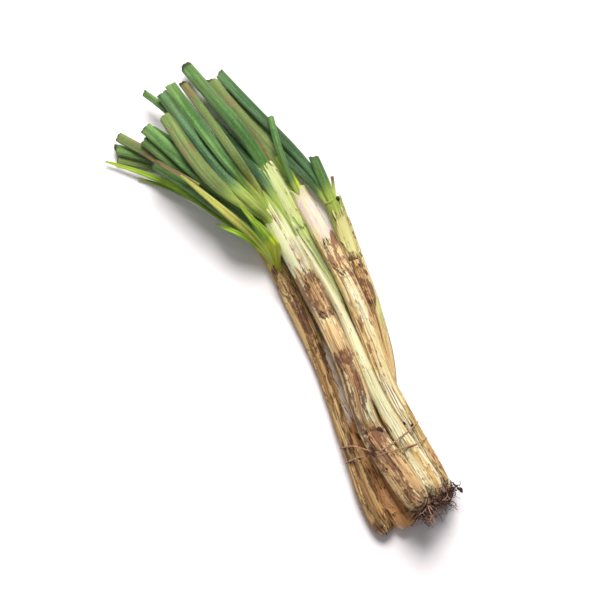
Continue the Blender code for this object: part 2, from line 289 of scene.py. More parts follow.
class Shader:
    """One material and its Principled surface."""

    def __init__(self, name, **constants):
        self.material = bpy.data.materials.new(name)
        self.material.use_nodes = True
        self.tree = self.material.node_tree
        self.surface = self.tree.nodes["Principled BSDF"]
        for key, value in constants.items():
            self.surface.inputs[key.replace("_", " ")].default_value = value

    def node(self, kind, settings=None, inputs=None, output=0):
        """Adds a node: its settings first (a ramp's stops too), then its sockets."""
        new = self.tree.nodes.new(kind)
        for key, value in (settings or {}).items():
            if key == "stops":
                self.set_stops(new.color_ramp, value)
            else:
                setattr(new, key, value)
        for key, value in (inputs or {}).items():
            self.feed(new.inputs[key], value)
        return Value(self, new.outputs[output])

    def feed(self, socket, value):
        """Links a Value to a socket, or sets the socket's own number or colour."""
        if isinstance(value, Value):
            self.tree.links.new(value.socket, socket)
        else:
            socket.default_value = value

    def set_stops(self, ramp, stops):
        """Gives a colour ramp its stops, each a place and a colour."""
        while len(ramp.elements) < len(stops):
            ramp.elements.new(0.5)
        for element, (place, colour) in zip(ramp.elements, stops):
            element.position = place
            element.color = (*linear(colour), 1.0)

    def maths(self, operation, *values):
        """A Math node on these values."""
        return self.node("ShaderNodeMath", {"operation": operation}, dict(enumerate(values)))

    def fact(self, name):
        """A number kept on the mesh's points."""
        return self.node("ShaderNodeAttribute", {"attribute_name": name}, output="Fac")

    def grain(self, across, along):
        """The mesh's own fibre direction, as a place: `across` and `along` in bumps per metre."""
        place = self.node("ShaderNodeAttribute", {"attribute_name": "grain"}, output="Vector")
        scale = (across, across, along)
        return self.node("ShaderNodeVectorMath", {"operation": "MULTIPLY"}, {0: place, 1: scale})

    def noise(self, across, along, detail=3.0, roughness=0.55):
        """Noise stretched along the fibres, from 0 to 1."""
        inputs = {"Vector": self.grain(across, along), "Scale": 1.0, "Detail": detail}
        return self.node("ShaderNodeTexNoise", {}, inputs | {"Roughness": roughness}, "Fac")

    def between(self, value, low, high):
        """0 below `low`, 1 above `high`, smooth between them."""
        settings = {"interpolation_type": "SMOOTHSTEP", "clamp": True}
        return self.node("ShaderNodeMapRange", settings, {0: value, 1: low, 2: high})

    def mix(self, share, first, second, blend="MIX"):
        """The first colour with `share` of the second over it."""
        settings = {"data_type": "RGBA", "blend_type": blend, "clamp_factor": True}
        inputs = {0: share, 6: self.colour(first), 7: self.colour(second)}
        return self.node("ShaderNodeMix", settings, inputs, 2)

    def colour(self, value):
        """A Value as it is, or a plain colour made ready for a socket."""
        return value if isinstance(value, Value) else (*linear(value), 1.0)

    def ramp(self, value, stops):
        """A colour that depends on a value."""
        return self.node("ShaderNodeValToRGB", {"stops": stops}, {"Fac": value}, "Color")

    def finish(self, colour, roughness, height, depth):
        """Feeds the surface and returns the material; `depth` is the bump's full height."""
        self.feed(self.surface.inputs["Base Color"], colour)
        self.feed(self.surface.inputs["Roughness"], roughness)
        inputs = {"Height": height, "Distance": depth, "Strength": 1.0}
        self.feed(self.surface.inputs["Normal"], self.node("ShaderNodeBump", {}, inputs))
        return self.material


def sheath_skin(onion, look, soil_colour):
    """Layered sheath: clean flesh, green towards the neck, papery skin, stains and soil, with painted shade
    along the creases.
    """
    shader = Shader(f"sheath_skin_{onion}", Specular_IOR_Level=0.4)
    fine = shader.between(shader.noise(3200, 60, 4.0, 0.6), 0.34, 0.66)
    streak = shader.between(shader.noise(1000, 13, 3.0, 0.6), 0.38, 0.62)
    band = shader.between(shader.noise(420, 11, 3.0, 0.6), 0.40, 0.60)
    patch = shader.between(shader.noise(330, 150, 5.0, 0.68), 0.36, 0.64)
    crackle = shader.between(shader.noise(900, 420, 4.0, 0.7), 0.4, 0.62)
    flesh = shader.mix(streak * 0.7 + fine * 0.3, look["clean"], look["clean_shade"])
    leafy = shader.mix(streak, look["green"], look["green_shade"])
    leafy_share = shader.between(shader.fact("green") + (streak - 0.5) * 0.5, 0.2, 0.8)
    flesh = shader.mix(leafy_share, flesh, leafy)
    pink = shader.fact("pink") * (patch * 0.5 + streak * 0.5)
    flesh = shader.mix(shader.between(pink, 0.15, 0.65) * look.get("pinkness", 0.9), flesh, look["pink"])
    sweep = shader.between(shader.noise(700, 6, 3.0, 0.6), 0.40, 0.60)
    tone = band * 0.34 + sweep * 0.26 + streak * 0.22 + fine * 0.1 + patch * 0.08
    paper = shader.ramp(tone, look["paper"])
    paper = shader.mix(shader.between(crackle * fine, 0.5, 0.9) * 0.3, paper, look["fibre"])
    torn = shader.fact("paper") + (streak - 0.5) * 0.35 + (patch - 0.5) * 0.35
    paper_share = shader.between(torn, 0.3, 0.7)
    skin = shader.mix(paper_share * (0.82 + fine * 0.18), flesh, paper)
    mottle = (patch - 0.5) * 0.65 + (sweep - 0.5) * 0.5 + (streak - 0.5) * 0.4
    mottle = mottle + (crackle - 0.5) * 0.15
    worn = shader.between(shader.noise(260, 28, 4.0, 0.65), 0.5, 0.66) * shader.fact("paper") * 0.5
    stain = shader.between(shader.fact("stain") + worn + mottle, 0.42, 0.8)
    stain_colour = shader.mix(fine * 0.5 + crackle * 0.5, look["stain"], look["dark_stain_and_crease_shade"])
    skin = shader.mix(stain * 0.84, skin, stain_colour)
    seam = shader.between(shader.noise(1500, 7, 2.0, 0.5), 0.66, 0.72) * shader.fact("paper")
    skin = shader.mix(seam * 0.6, skin, look["edge"])
    skin = shader.mix(shader.fact("edge") * fine * 0.55, skin, look["edge"])
    soil = shader.between(shader.noise(560, 330, 5.0, 0.75), 0.655, 0.71) * shader.fact("soil")
    skin = shader.mix(soil * 0.85, skin, soil_colour)
    # Partly painted shade: each crease is drawn dark along its groove, standing both for the skin's dark
    # crack line and for the shade in the groove.
    crease = shader.between(shader.fact("crease") * (0.6 + streak * 0.6), 0.25, 0.8)
    skin = shader.mix(crease * 0.8, skin, look["dark_stain_and_crease_shade"])
    skin = shader.mix(0.22, skin, skin, "OVERLAY")
    roughness = 0.38 + paper_share * 0.16 + stain * 0.15 + fine * 0.08
    height = fine * 0.35 + streak * 0.5 + paper_share * 0.35 + soil * 0.5 + crackle * paper_share * 0.3
    return shader.finish(skin, roughness, height, 0.4 * MM)


def leaf_skin(name, look, settings):
    """Waxy hollow leaf: pale base, green body, lighter tip, with fine veins and bloom, and painted shade
    deep inside its cut mouth.
    """
    shader = Shader(f"{name}_skin", Specular_IOR_Level=0.45)
    fine = shader.between(shader.noise(4200, 40, 3.0), 0.34, 0.66)
    streak = shader.between(shader.noise(800, 7, 3.0), 0.36, 0.64)
    broad = shader.between(shader.noise(260, 30, 4.0, 0.6), 0.38, 0.62)
    speck = shader.between(shader.noise(2200, 1500, 4.0, 0.7), 0.4, 0.62)
    along = shader.fact("along") + (streak - 0.5) * 0.07 + (broad - 0.5) * 0.06
    body = shader.ramp(along, look["along"])
    bloom = broad * 0.6 + speck * 0.4
    body = shader.mix(shader.between(bloom, 0.2, 0.8) * 0.6, body, look["bloom"])
    body = shader.mix(streak * 0.55, body, look["shade"])
    body = shader.mix(fine * (1 - speck) * 0.45, body, look["shade"])
    body = shader.mix(speck * (1 - streak) * 0.3, body, look["along"][-1][1])
    base_colours = look.get("base", (settings.base_light, settings.base_dark))
    base = shader.mix(streak * 0.8 + fine * 0.2, *base_colours)
    body = shader.mix(shader.between(shader.fact("sheath") + (streak - 0.5) * 0.35, 0.1, 0.9), body, base)
    mottle = shader.between(shader.noise(420, 120, 5.0, 0.7) + shader.fact("stain") * 0.16, 0.6, 0.72)
    body = shader.mix(mottle * look["stained"] * (0.5 + speck * 0.5), body, look["stain"])
    dots = shader.between(shader.noise(900, 700, 3.0, 0.6), 0.69, 0.73)
    body = shader.mix(dots * 0.5, body, settings.speck)
    body = shader.mix(0.3, body, body, "OVERLAY")
    body = shader.mix(shader.fact("rim"), body, look["rim"])
    # Painted shade: the inside of a cut mouth darkens towards the near-black hollow colour, more so deeper
    # in.
    body = shader.mix(shader.fact("inside"), body, settings.hollow)
    roughness = 0.34 + bloom * 0.22 + fine * 0.08
    return shader.finish(body, roughness, fine * 0.4 + streak * 0.7 + speck * 0.3, 0.4 * MM)


def root_skin(dark, light):
    """Dull root and dried soil, from dark to light by each thread's own tone."""
    shader = Shader("roots_skin", Specular_IOR_Level=0.3)
    tone = shader.fact("tone") + (shader.noise(900, 500) - 0.5) * 0.6
    colour = shader.mix(shader.between(tone, 0.4, 1.0), dark, light)
    return shader.finish(colour, 0.75 + tone * 0.1, shader.noise(3000, 1200), 0.1 * MM)


def twine_fibre(name, light, dark, dirt_colour):
    """Dry natural fibre with dirt rubbed into it, painted in streaks between its shaded colour and its lit
    one.
    """
    shader = Shader(name, Specular_IOR_Level=0.25)
    streak = shader.noise(5000, 900, 4.0)
    dirt = shader.noise(500, 300)
    # Painted light and shade: streaks between the shaded and the lit fibre colours.
    colour = shader.mix(shader.between(streak, 0.4, 0.6), dark, light)
    colour = shader.mix(shader.between(dirt, 0.5, 0.7) * 0.6, colour, dirt_colour)
    return shader.finish(colour, 0.8 + streak * 0.15, streak, 0.1 * MM)


# ---------------------------------------------------------------- looks

# Papery skin from its darkest streaks to its lightest.
TAN_PAPER = [
    (0.0, (0.36, 0.21, 0.14)), (0.24, (0.60, 0.42, 0.28)), (0.44, (0.79, 0.64, 0.43)),
    (0.66, (0.88, 0.79, 0.60)), (0.9, (0.93, 0.91, 0.80)),
]
GOLD_PAPER = [
    (0.0, (0.44, 0.28, 0.13)), (0.2, (0.70, 0.52, 0.28)), (0.38, (0.85, 0.71, 0.45)),
    (0.6, (0.92, 0.86, 0.67)), (0.85, (0.95, 0.94, 0.86)),
]
ORANGE_PAPER = [
    (0.0, (0.55, 0.33, 0.17)), (0.25, (0.78, 0.53, 0.29)), (0.5, (0.88, 0.66, 0.40)),
    (1.0, (0.93, 0.80, 0.58)),
]
BROWN_PAPER = [
    (0.0, (0.34, 0.21, 0.14)), (0.26, (0.56, 0.41, 0.25)), (0.5, (0.74, 0.59, 0.38)),
    (0.78, (0.86, 0.76, 0.54)), (1.0, (0.90, 0.86, 0.69)),
]

# Each onion: colours, then where its features lie as (y in mm, angle in degrees with 90 on
# top, half length in mm, half angle, strength). `neck` is where green gives way to white and
# `paper_from` where papery skin begins, counting down to the bulb. `rim` tilts the mouth (rise
# in mm, angle). A crease is (first y, last y, first angle, last angle, strength), and a split
# in the mouth is (angle, half angle, depth in mm).
# The dark stain colour is also the painted shade along the creases.
STEM_LOOKS = {
    1: dict(
        clean=(0.86, 0.78, 0.60), clean_shade=(0.76, 0.66, 0.44), green=(0.82, 0.74, 0.32),
        green_shade=(0.72, 0.58, 0.26), pink=(0.80, 0.60, 0.52), fibre=(0.85, 0.72, 0.50),
        stain=(0.42, 0.25, 0.16), dark_stain_and_crease_shade=(0.22, 0.11, 0.10), edge=(0.36, 0.22, 0.13),
        paper=BROWN_PAPER, neck=14, neck_fade=16, paper_from=8, rim=(0, 0), wrinkles=[-28, -47, -60, 2],
        pinks=[(8, 70, 10, 60, 0.9)],
        stains=[
            (-9, 80, 17, 40, 0.95), (10, 120, 8, 60, 0.15), (-95, 100, 10, 60, 0.5),
            (-120, 50, 16, 25, 0.7), (-142, 60, 7, 90, 0.5),
        ],
        bare=[(-36, 80, 9, 45, 0.9), (-58, 110, 12, 35, 0.7)],
        creases=[
            (0, -62, 60, 72, 0.8), (-30, -92, 100, 92, 0.9), (-58, -142, 80, 68, 1.0),
            (-95, -142, 112, 84, 1.0), (-100, -140, 55, 48, 0.8),
        ],
    ),
    2: dict(
        clean=(0.92, 0.91, 0.80), clean_shade=(0.82, 0.83, 0.62), green=(0.73, 0.76, 0.45),
        green_shade=(0.60, 0.67, 0.30), pink=(0.66, 0.50, 0.52), fibre=(0.92, 0.83, 0.64),
        stain=(0.54, 0.33, 0.21), dark_stain_and_crease_shade=(0.32, 0.17, 0.14), edge=(0.42, 0.26, 0.15),
        pinkness=0.6, paper=TAN_PAPER, neck=52, neck_fade=20, paper_from=11, rim=(2.5, 60),
        wrinkles=[-43, -45, -12, -95, -113],
        pinks=[(49, 80, 7, 40, 0.6), (26, 62, 11, 28, 0.8), (14, 80, 8, 50, 0.5)],
        stains=[
            (3, 60, 12, 45, 0.85), (-6, 50, 14, 30, 0.7), (-43, 80, 5, 50, 0.8), (-62, 70, 15, 30, 0.8),
            (-94, 60, 8, 40, 0.9), (-112, 110, 16, 30, 0.7), (-127, 100, 12, 25, 0.6),
            (-84, 130, 20, 25, 0.6),
        ],
        bare=[(-74, 60, 9, 32, 0.95), (-20, 130, 9, 30, 0.5)],
        creases=[
            (8, -42, 104, 112, 0.6), (-30, -96, 60, 70, 0.8), (-55, -120, 150, 126, 0.9),
            (-60, -137, 122, 108, 0.9), (-98, -136, 96, 56, 1.0), (-100, -140, 142, 134, 0.9),
            (-104, -130, 50, 46, 0.7),
        ],
        splits=[(75, 18, 9), (140, 16, 5)],
    ),
    3: dict(
        clean=(0.86, 0.88, 0.70), clean_shade=(0.74, 0.78, 0.50), green=(0.80, 0.85, 0.58),
        green_shade=(0.70, 0.78, 0.46), pink=(0.80, 0.66, 0.56), fibre=(0.92, 0.85, 0.66),
        stain=(0.58, 0.42, 0.26), dark_stain_and_crease_shade=(0.40, 0.25, 0.16), edge=(0.42, 0.30, 0.16),
        paper=TAN_PAPER, neck=20, neck_fade=60, paper_from=-24, rim=(3.2, 95), wrinkles=[],
        pinks=[(50, 130, 7, 35, 0.7)],
        stains=[(62, 120, 5, 30, 0.25)],
        bare=[],
        creases=[(36, -40, 104, 92, 0.6), (16, -34, 68, 70, 0.5)],
        splits=[(70, 26, 6)],
    ),
    4: dict(
        clean=(0.92, 0.89, 0.76), clean_shade=(0.87, 0.78, 0.57), green=(0.84, 0.84, 0.62),
        green_shade=(0.76, 0.78, 0.50), pink=(0.90, 0.80, 0.79), fibre=(0.94, 0.86, 0.64),
        stain=(0.66, 0.44, 0.33), dark_stain_and_crease_shade=(0.45, 0.26, 0.21), edge=(0.40, 0.23, 0.13),
        paper=GOLD_PAPER, neck=54, neck_fade=9, paper_from=17, rim=(2.5, 100), wrinkles=[8, -1, -105],
        pinks=[(44, 80, 17, 75, 1.2), (28, 60, 10, 60, 1.1)],
        stains=[
            (12, 60, 13, 50, 0.75), (6, 110, 14, 22, 0.4), (-2, 40, 16, 26, 0.6),
            (-45, 130, 26, 18, 0.5), (-100, 40, 18, 22, 0.5), (-134, 60, 6, 60, 0.4),
        ],
        bare=[(5, 95, 10, 20, 0.9), (-50, 80, 30, 24, 0.9), (-112, 90, 24, 26, 0.9)],
        creases=[
            (-58, -138, 102, 84, 1.0), (-68, -139, 74, 62, 1.0), (12, -100, 126, 108, 0.9),
            (-86, -138, 56, 50, 0.8), (-8, -60, 84, 92, 0.6),
        ],
        splits=[(100, 24, 6)],
    ),
    5: dict(
        clean=(0.84, 0.82, 0.60), clean_shade=(0.74, 0.72, 0.42), green=(0.56, 0.68, 0.24),
        green_shade=(0.66, 0.70, 0.36), pink=(0.76, 0.60, 0.48), fibre=(0.90, 0.80, 0.58),
        stain=(0.46, 0.27, 0.16), dark_stain_and_crease_shade=(0.28, 0.15, 0.10), edge=(0.24, 0.13, 0.08),
        paper=TAN_PAPER, neck=30, neck_fade=22, paper_from=20, rim=(1.5, 60), wrinkles=[5, 4, 40],
        pinks=[(14, 60, 8, 50, 0.5)],
        stains=[
            (5, 80, 1.8, 80, 1.0), (-6, 110, 9, 35, 0.6), (-16, 100, 14, 40, 0.8),
            (-40, 120, 20, 25, 0.5), (32, 110, 5, 35, 0.35),
        ],
        bare=[(-28, 50, 12, 25, 0.9)],
        creases=[(0, -52, 124, 102, 0.9), (-18, -62, 88, 94, 0.8), (28, 8, 100, 84, 0.5)],
    ),
    6: dict(
        clean=(0.95, 0.91, 0.86), clean_shade=(0.90, 0.82, 0.78), green=(0.80, 0.80, 0.44),
        green_shade=(0.70, 0.70, 0.34), pink=(0.96, 0.91, 0.92), fibre=(0.88, 0.74, 0.48),
        stain=(0.50, 0.30, 0.16), dark_stain_and_crease_shade=(0.32, 0.17, 0.12), edge=(0.28, 0.15, 0.09),
        paper=ORANGE_PAPER, neck=30, neck_fade=20, paper_from=-10, rim=(0, 0), wrinkles=[-45, -88],
        pinks=[(-62, 95, 20, 60, 1.0)],
        stains=[(-84, 110, 8, 45, 0.5), (-112, 120, 14, 25, 0.3)],
        bare=[(-62, 95, 18, 42, 1.0)],
        creases=[(-100, -136, 112, 98, 0.9), (-60, -122, 82, 80, 0.8)],
    ),
    7: dict(
        clean=(0.92, 0.90, 0.79), clean_shade=(0.82, 0.80, 0.60), green=(0.78, 0.86, 0.58),
        green_shade=(0.70, 0.80, 0.46), pink=(0.88, 0.78, 0.70), fibre=(0.95, 0.90, 0.74),
        stain=(0.66, 0.46, 0.26), dark_stain_and_crease_shade=(0.42, 0.26, 0.17), edge=(0.44, 0.28, 0.16),
        paper=GOLD_PAPER, neck=44, neck_fade=16, paper_from=-92, rim=(0, 0), wrinkles=[-60, -113],
        pinks=[(10, 90, 10, 60, 0.5)],
        stains=[(-93, 150, 6, 30, 0.8), (-128, 100, 12, 18, 0.4)],
        bare=[(-104, 110, 22, 40, 0.9), (-70, 90, 30, 80, 0.8)],
        creases=[(24, -62, 104, 98, 0.5), (-48, -122, 80, 90, 0.7), (-90, -138, 112, 104, 0.9)],
    ),
}

# Each kind of leaf: its colours from base to tip, then those of its bloom, shaded streaks,
# stains and cut rim, how stained it is, and the two of its base where they are its own.
LEAF_LOOKS = {
    "leaf_green": dict(
        along=[
            (0.0, (0.62, 0.76, 0.36)), (0.16, (0.40, 0.60, 0.22)), (0.45, (0.35, 0.52, 0.25)),
            (0.8, (0.38, 0.57, 0.27)), (1.0, (0.50, 0.65, 0.31)),
        ],
        bloom=(0.62, 0.77, 0.50), shade=(0.14, 0.32, 0.12), stain=(0.50, 0.42, 0.26),
        rim=(0.20, 0.24, 0.12), stained=0.25,
    ),
    "leaf_blue_green": dict(
        along=[
            (0.0, (0.62, 0.76, 0.42)), (0.18, (0.36, 0.56, 0.33)), (0.5, (0.28, 0.45, 0.26)),
            (0.85, (0.33, 0.51, 0.29)), (1.0, (0.46, 0.62, 0.32)),
        ],
        bloom=(0.54, 0.68, 0.52), shade=(0.09, 0.22, 0.12), stain=(0.45, 0.42, 0.30),
        rim=(0.18, 0.22, 0.14), stained=0.25,
    ),
    "leaf_olive": dict(
        along=[
            (0.0, (0.66, 0.74, 0.36)), (0.25, (0.46, 0.58, 0.26)), (0.55, (0.50, 0.54, 0.29)),
            (0.8, (0.46, 0.56, 0.28)), (1.0, (0.58, 0.66, 0.38)),
        ],
        bloom=(0.62, 0.68, 0.44), shade=(0.28, 0.37, 0.15), stain=(0.60, 0.44, 0.33),
        rim=(0.18, 0.16, 0.09), stained=0.7,
    ),
    "leaf_yellow_green": dict(
        along=[
            (0.0, (0.88, 0.90, 0.26)), (0.22, (0.80, 0.87, 0.14)), (0.45, (0.52, 0.70, 0.18)),
            (0.75, (0.56, 0.72, 0.18)), (1.0, (0.82, 0.86, 0.30)),
        ],
        bloom=(0.72, 0.82, 0.36), shade=(0.52, 0.66, 0.08), stain=(0.70, 0.62, 0.26),
        rim=(0.66, 0.70, 0.40), stained=0.3, base=((0.88, 0.92, 0.28), (0.74, 0.82, 0.12)),
    ),
    "leaf_pale_yellow": dict(
        along=[
            (0.0, (0.70, 0.78, 0.24)), (0.3, (0.74, 0.80, 0.32)), (0.7, (0.86, 0.84, 0.50)),
            (1.0, (0.84, 0.70, 0.46)),
        ],
        bloom=(0.80, 0.84, 0.50), shade=(0.58, 0.66, 0.22), stain=(0.76, 0.60, 0.36),
        rim=(0.80, 0.76, 0.50), stained=0.4,
    ),
    "leaf_dry": dict(
        along=[
            (0.0, (0.66, 0.66, 0.36)), (0.3, (0.58, 0.52, 0.30)), (0.7, (0.52, 0.42, 0.26)),
            (1.0, (0.44, 0.33, 0.20)),
        ],
        bloom=(0.66, 0.58, 0.40), shade=(0.34, 0.24, 0.14), stain=(0.30, 0.18, 0.12),
        rim=(0.40, 0.30, 0.18), stained=0.6,
    ),
}


# ---------------------------------------------------------------- settings


def length_setting(name, description, default):
    """A size in metres that a user may change."""
    shared = dict(min=0.0, unit="LENGTH", precision=5)
    return FloatProperty(name=name, description=description, default=default, **shared)


def colour_setting(name, description, default):
    """A colour, as it looks on screen, that a user may change."""
    shared = dict(size=3, min=0.0, max=1.0, subtype="COLOR_GAMMA")
    return FloatVectorProperty(name=name, description=description, default=default, **shared)


class ONION_PG_stems(bpy.types.PropertyGroup):
    ring_step: length_setting("Ring step", "Distance between a stem's rings", 0.0006)
    around: IntProperty(name="Around", description="Points around a stem", default=96, min=12)
    skin_thickness: length_setting("Skin thickness", "How far papery skin stands off the flesh", 0.00032)
    rib_depth: length_setting("Rib depth", "Depth of the lengthwise ribs", 0.00013)
    lump_height: length_setting("Lumps", "Height of the soft unevenness", 0.00055)
    crease_depth: length_setting("Crease depth", "Depth of the long creases between skins", 0.0005)
    wrinkle_depth: length_setting("Wrinkle depth", "Depth of the wrinkles across old skin", 0.0003)
    soil: colour_setting("Soil", "Colour of the soil on the skins", (0.22, 0.13, 0.09))


class ONION_PG_leaves(bpy.types.PropertyGroup):
    ring_step: length_setting("Ring step", "Distance between a leaf's rings", 0.0009)
    around: IntProperty(name="Around", description="Points around a leaf", default=40, min=12)
    vein_depth: length_setting("Vein depth", "Depth of the lengthwise veins", 0.00007)
    mouth_depth: length_setting("Mouth depth", "How deep the hollow shows behind a cut", 0.014)
    fullness: FloatProperty(
        name="Fullness", description="Leaf width over the frame's", default=1.12, min=0.5
    )
    wall_share: FloatProperty(
        name="Wall", description="Wall of a cut leaf over its half width", default=0.2,
        min=0.05, max=0.6, subtype="FACTOR",
    )
    base_light: colour_setting("Light base", "Colour where a leaf leaves the sheath", (0.80, 0.83, 0.50))
    base_dark: colour_setting("Dark base", "Colour of the streaks in its base", (0.62, 0.71, 0.32))
    speck: colour_setting("Specks", "Colour of the dark specks on a leaf", (0.24, 0.20, 0.12))
    # Painted shade: the near-black colour deep inside a cut leaf's mouth.
    hollow: colour_setting("Hollow", "Colour deep inside a cut leaf", (0.08, 0.11, 0.05))


class ONION_PG_roots(bpy.types.PropertyGroup):
    radius: length_setting("Root radius", "Radius of a root where it leaves the bulb", 0.00045)
    dark: colour_setting("Dark root", "Colour of old roots", (0.24, 0.14, 0.12))
    light: colour_setting("Light root", "Colour of fresh roots", (0.68, 0.53, 0.45))


class ONION_PG_twine(bpy.types.PropertyGroup):
    radius: length_setting("Twine radius", "Radius of the twisted twine", 0.00045)
    lay: length_setting("Lay", "Length of one full twist", 0.0032)
    twine_light: colour_setting("Light fibre", "Colour of the lit fibres", (0.86, 0.72, 0.58))
    # Painted shade: the darker fibres, the shaded counterpart of the lit ones above.
    twine_dark: colour_setting("Dark fibre", "Colour of the soiled fibres", (0.46, 0.32, 0.25))
    # Painted shade: the darker colour that the whole knot is drawn in.
    knot_dark: colour_setting("Dark knot", "Colour of the soil in the knot", (0.20, 0.12, 0.10))
    dirt: colour_setting("Dirt", "Colour of the dirt in the fibres", (0.25, 0.16, 0.12))


class ONION_PG_stage(bpy.types.PropertyGroup):
    lens: FloatProperty(name="Lens", description="Focal length in millimetres", default=150.0, min=20.0)
    distance: length_setting("Camera height", "Height of the camera over the bunch", 1.515)
    roll: FloatProperty(
        name="Roll", description="Turn of the camera about its view", subtype="ANGLE",
        default=math.radians(-30.65),
    )
    key_power: FloatProperty(
        name="Key light", description="Power of the main light", default=41.5, unit="POWER"
    )
    key_size: length_setting("Key size", "Width of the main light", 0.80)
    top_power: FloatProperty(
        name="Top light", description="Power of the wide light overhead", default=2.2, unit="POWER"
    )
    top_size: length_setting("Top size", "Width of the light overhead", 1.0)
    fill: FloatProperty(
        name="Fill", description="Strength of the light from all round", default=0.12, min=0.0
    )
    floor_colour: colour_setting("Floor", "Colour of the floor", (0.99, 0.972, 0.985))


SETTINGS = {
    "onion_stems": ONION_PG_stems,
    "onion_leaves": ONION_PG_leaves,
    "onion_roots": ONION_PG_roots,
    "onion_twine": ONION_PG_twine,
    "onion_stage": ONION_PG_stage,
}


# ---------------------------------------------------------------- stems


def spot(y, turn, place):
    """A soft oval on a stem: place is (y, angle, half length, half angle, strength)."""
    middle, angle, long, wide, strength = place
    far = np.sqrt(((y / MM - middle) / long) ** 2 + (degrees_from(turn, angle) / wide) ** 2)
    return strength * step_up(1.25, 0.55, far)


def spots(y, turn, places):
    """All the ovals of one kind together."""
    return np.clip(sum((spot(y, turn, p) for p in places), np.zeros(y.shape)), 0, 1.2)


def grain_of(s, turn, radius):
    """Where a point is along its own fibres, the same for every stem whatever its bend."""
    return np.stack([radius * np.cos(turn), radius * np.sin(turn), s], axis=-1)


def with_inside(s, turns, depths):
    """Rings with more rings behind their last one, at these depths inside the mouth."""
    inside = np.repeat(s[-1:], len(depths), axis=0) - depths[:, None]
    return np.concatenate([s, inside]), np.concatenate([turns, np.repeat(turns[-1:], len(depths), axis=0)])


def stem_rows(path, settings, look):
    """Lengths and turns (n, around) of a stem's rings, and how many of them lie outside."""
    outer = np.arange(0, path.length, settings.ring_step)
    s, turns = np.meshgrid(outer, turns_round(settings.around), indexing="ij")
    rise, angle = look["rim"]
    near_rim = step_up(path.length - 14 * MM, path.length, s)
    s = s + rise * MM * near_rim * np.cos(turns - np.radians(angle))
    for place, wide, deep in look.get("splits", ()):
        s = s - deep * MM * near_rim * np.exp(-((degrees_from(turns, place) / wide) ** 2))
    return *with_inside(s, turns, np.linspace(0, 9 * MM, 10)), len(outer)


def build_creases(y, turn, ragged, creases):
    """How deep the long creases are at each point, and how high the lip beside them."""
    crease, lip = np.zeros(y.shape), np.zeros(y.shape)
    for start, end, first, last, strength in creases:
        t = np.clip((y / MM - start) / (end - start), 0, 1)
        middle = first + (last - first) * t + 3 * np.sin(y / MM * 0.21 + first) + 5 * ragged
        across = degrees_from(turn, middle)
        share = strength * step_up(0.0, 0.12, t) * step_up(1.0, 0.88, t)
        crease = np.maximum(crease, share * np.exp(-((across / 4.5) ** 2)))
        lip += share * np.exp(-(((across - 9) / 6) ** 2))
    return crease, lip


def build_wrinkles(y, turn, ragged, places):
    """Wrinkles across old skin, each a furrow with a ridge beside it."""
    wrinkle = np.zeros(y.shape)
    for place in places:
        wave = y / MM - place + 1.6 * np.sin(turn * 2 + place) + 2.5 * ragged
        wrinkle += np.exp(-((wave / 0.7) ** 2)) - 0.6 * np.exp(-(((wave - 1.3) / 0.7) ** 2))
    return wrinkle


def build_stem(onion, path, settings, look, material):
    """A stem with its torn skin, ribs, creases, wrinkles and open mouth."""
    s, turn, outer = stem_rows(path, settings, look)
    y = path.read(s)[0][..., 1]
    grain = grain_of(s, turn, path.sizes.mean())
    shifted = grain + onion * GRAIN_APART
    ragged = step_up(0.3, 0.7, rough_bumps(shifted * np.array([1, 1, 0.35]), 2.6 * MM, 5)) - 0.5
    fibres = step_up(0.3, 0.7, rough_bumps(shifted * np.array([1, 1, 0.05]), 1.5 * MM, 9)) - 0.5
    torn = y + (ragged * 22 + fibres * 14) * MM
    from_neck = step_up(look["paper_from"] * MM + 10 * MM, look["paper_from"] * MM - 10 * MM, torn)
    bare = step_up(0.25, 0.75, spots(y, turn, look["bare"]) + ragged * 0.7 + fibres * 0.9)
    cover = from_neck * (1 + fibres * 0.5 + ragged * 0.5) - bare
    paper = step_up(0.3, 0.6, cover)
    slopes = [np.abs(np.gradient(paper, axis=axis)) * 1.2 for axis in (0, 1)]
    neck, fade = look["neck"], look["neck_fade"]
    crease, lip = build_creases(y, turn, ragged, look["creases"])
    wrinkle = build_wrinkles(y, turn, ragged, look["wrinkles"])
    ribs = rough_bumps(grain * np.array([1, 1, 0.02]) + onion, 0.9 * MM, 31) - 0.5
    lumps = bumps(shifted * np.array([1, 1, 0.4]), 4.5 * MM, 41) - 0.5
    grow = (
        settings.skin_thickness * paper
        + settings.rib_depth * ribs * 2 * (0.6 + paper)
        + settings.lump_height * lumps
        - settings.wrinkle_depth * wrinkle
        - settings.crease_depth * crease
        + 0.5 * settings.crease_depth * lip
        - settings.lump_height * 0.5
    )
    grow[outer:] = 0
    scale = np.ones(s.shape)
    scale[outer:] = 0.86 - 0.01 * np.arange(len(s) - outer)[:, None]
    rows = path.skin(s, turn, grow, scale)
    rows[..., 2] = np.maximum(rows[..., 2], 0.1 * MM)
    facts = dict(
        grain=shifted,
        paper=paper,
        edge=np.clip(slopes[0] + slopes[1], 0, 1),
        green=step_up((neck - fade) * MM, (neck + fade) * MM, y),
        stain=spots(y, turn, look["stains"]),
        pink=spots(y, turn, look["pinks"]),
        soil=np.clip(0.45 + 0.5 * step_up(-95 * MM, -140 * MM, y), 0, 1),
        crease=crease,
    )
    node = f"onion_{onion}_stem"
    tube_piece(f"stem_{onion}", rows, material, SLOTS[node], [node], **facts)


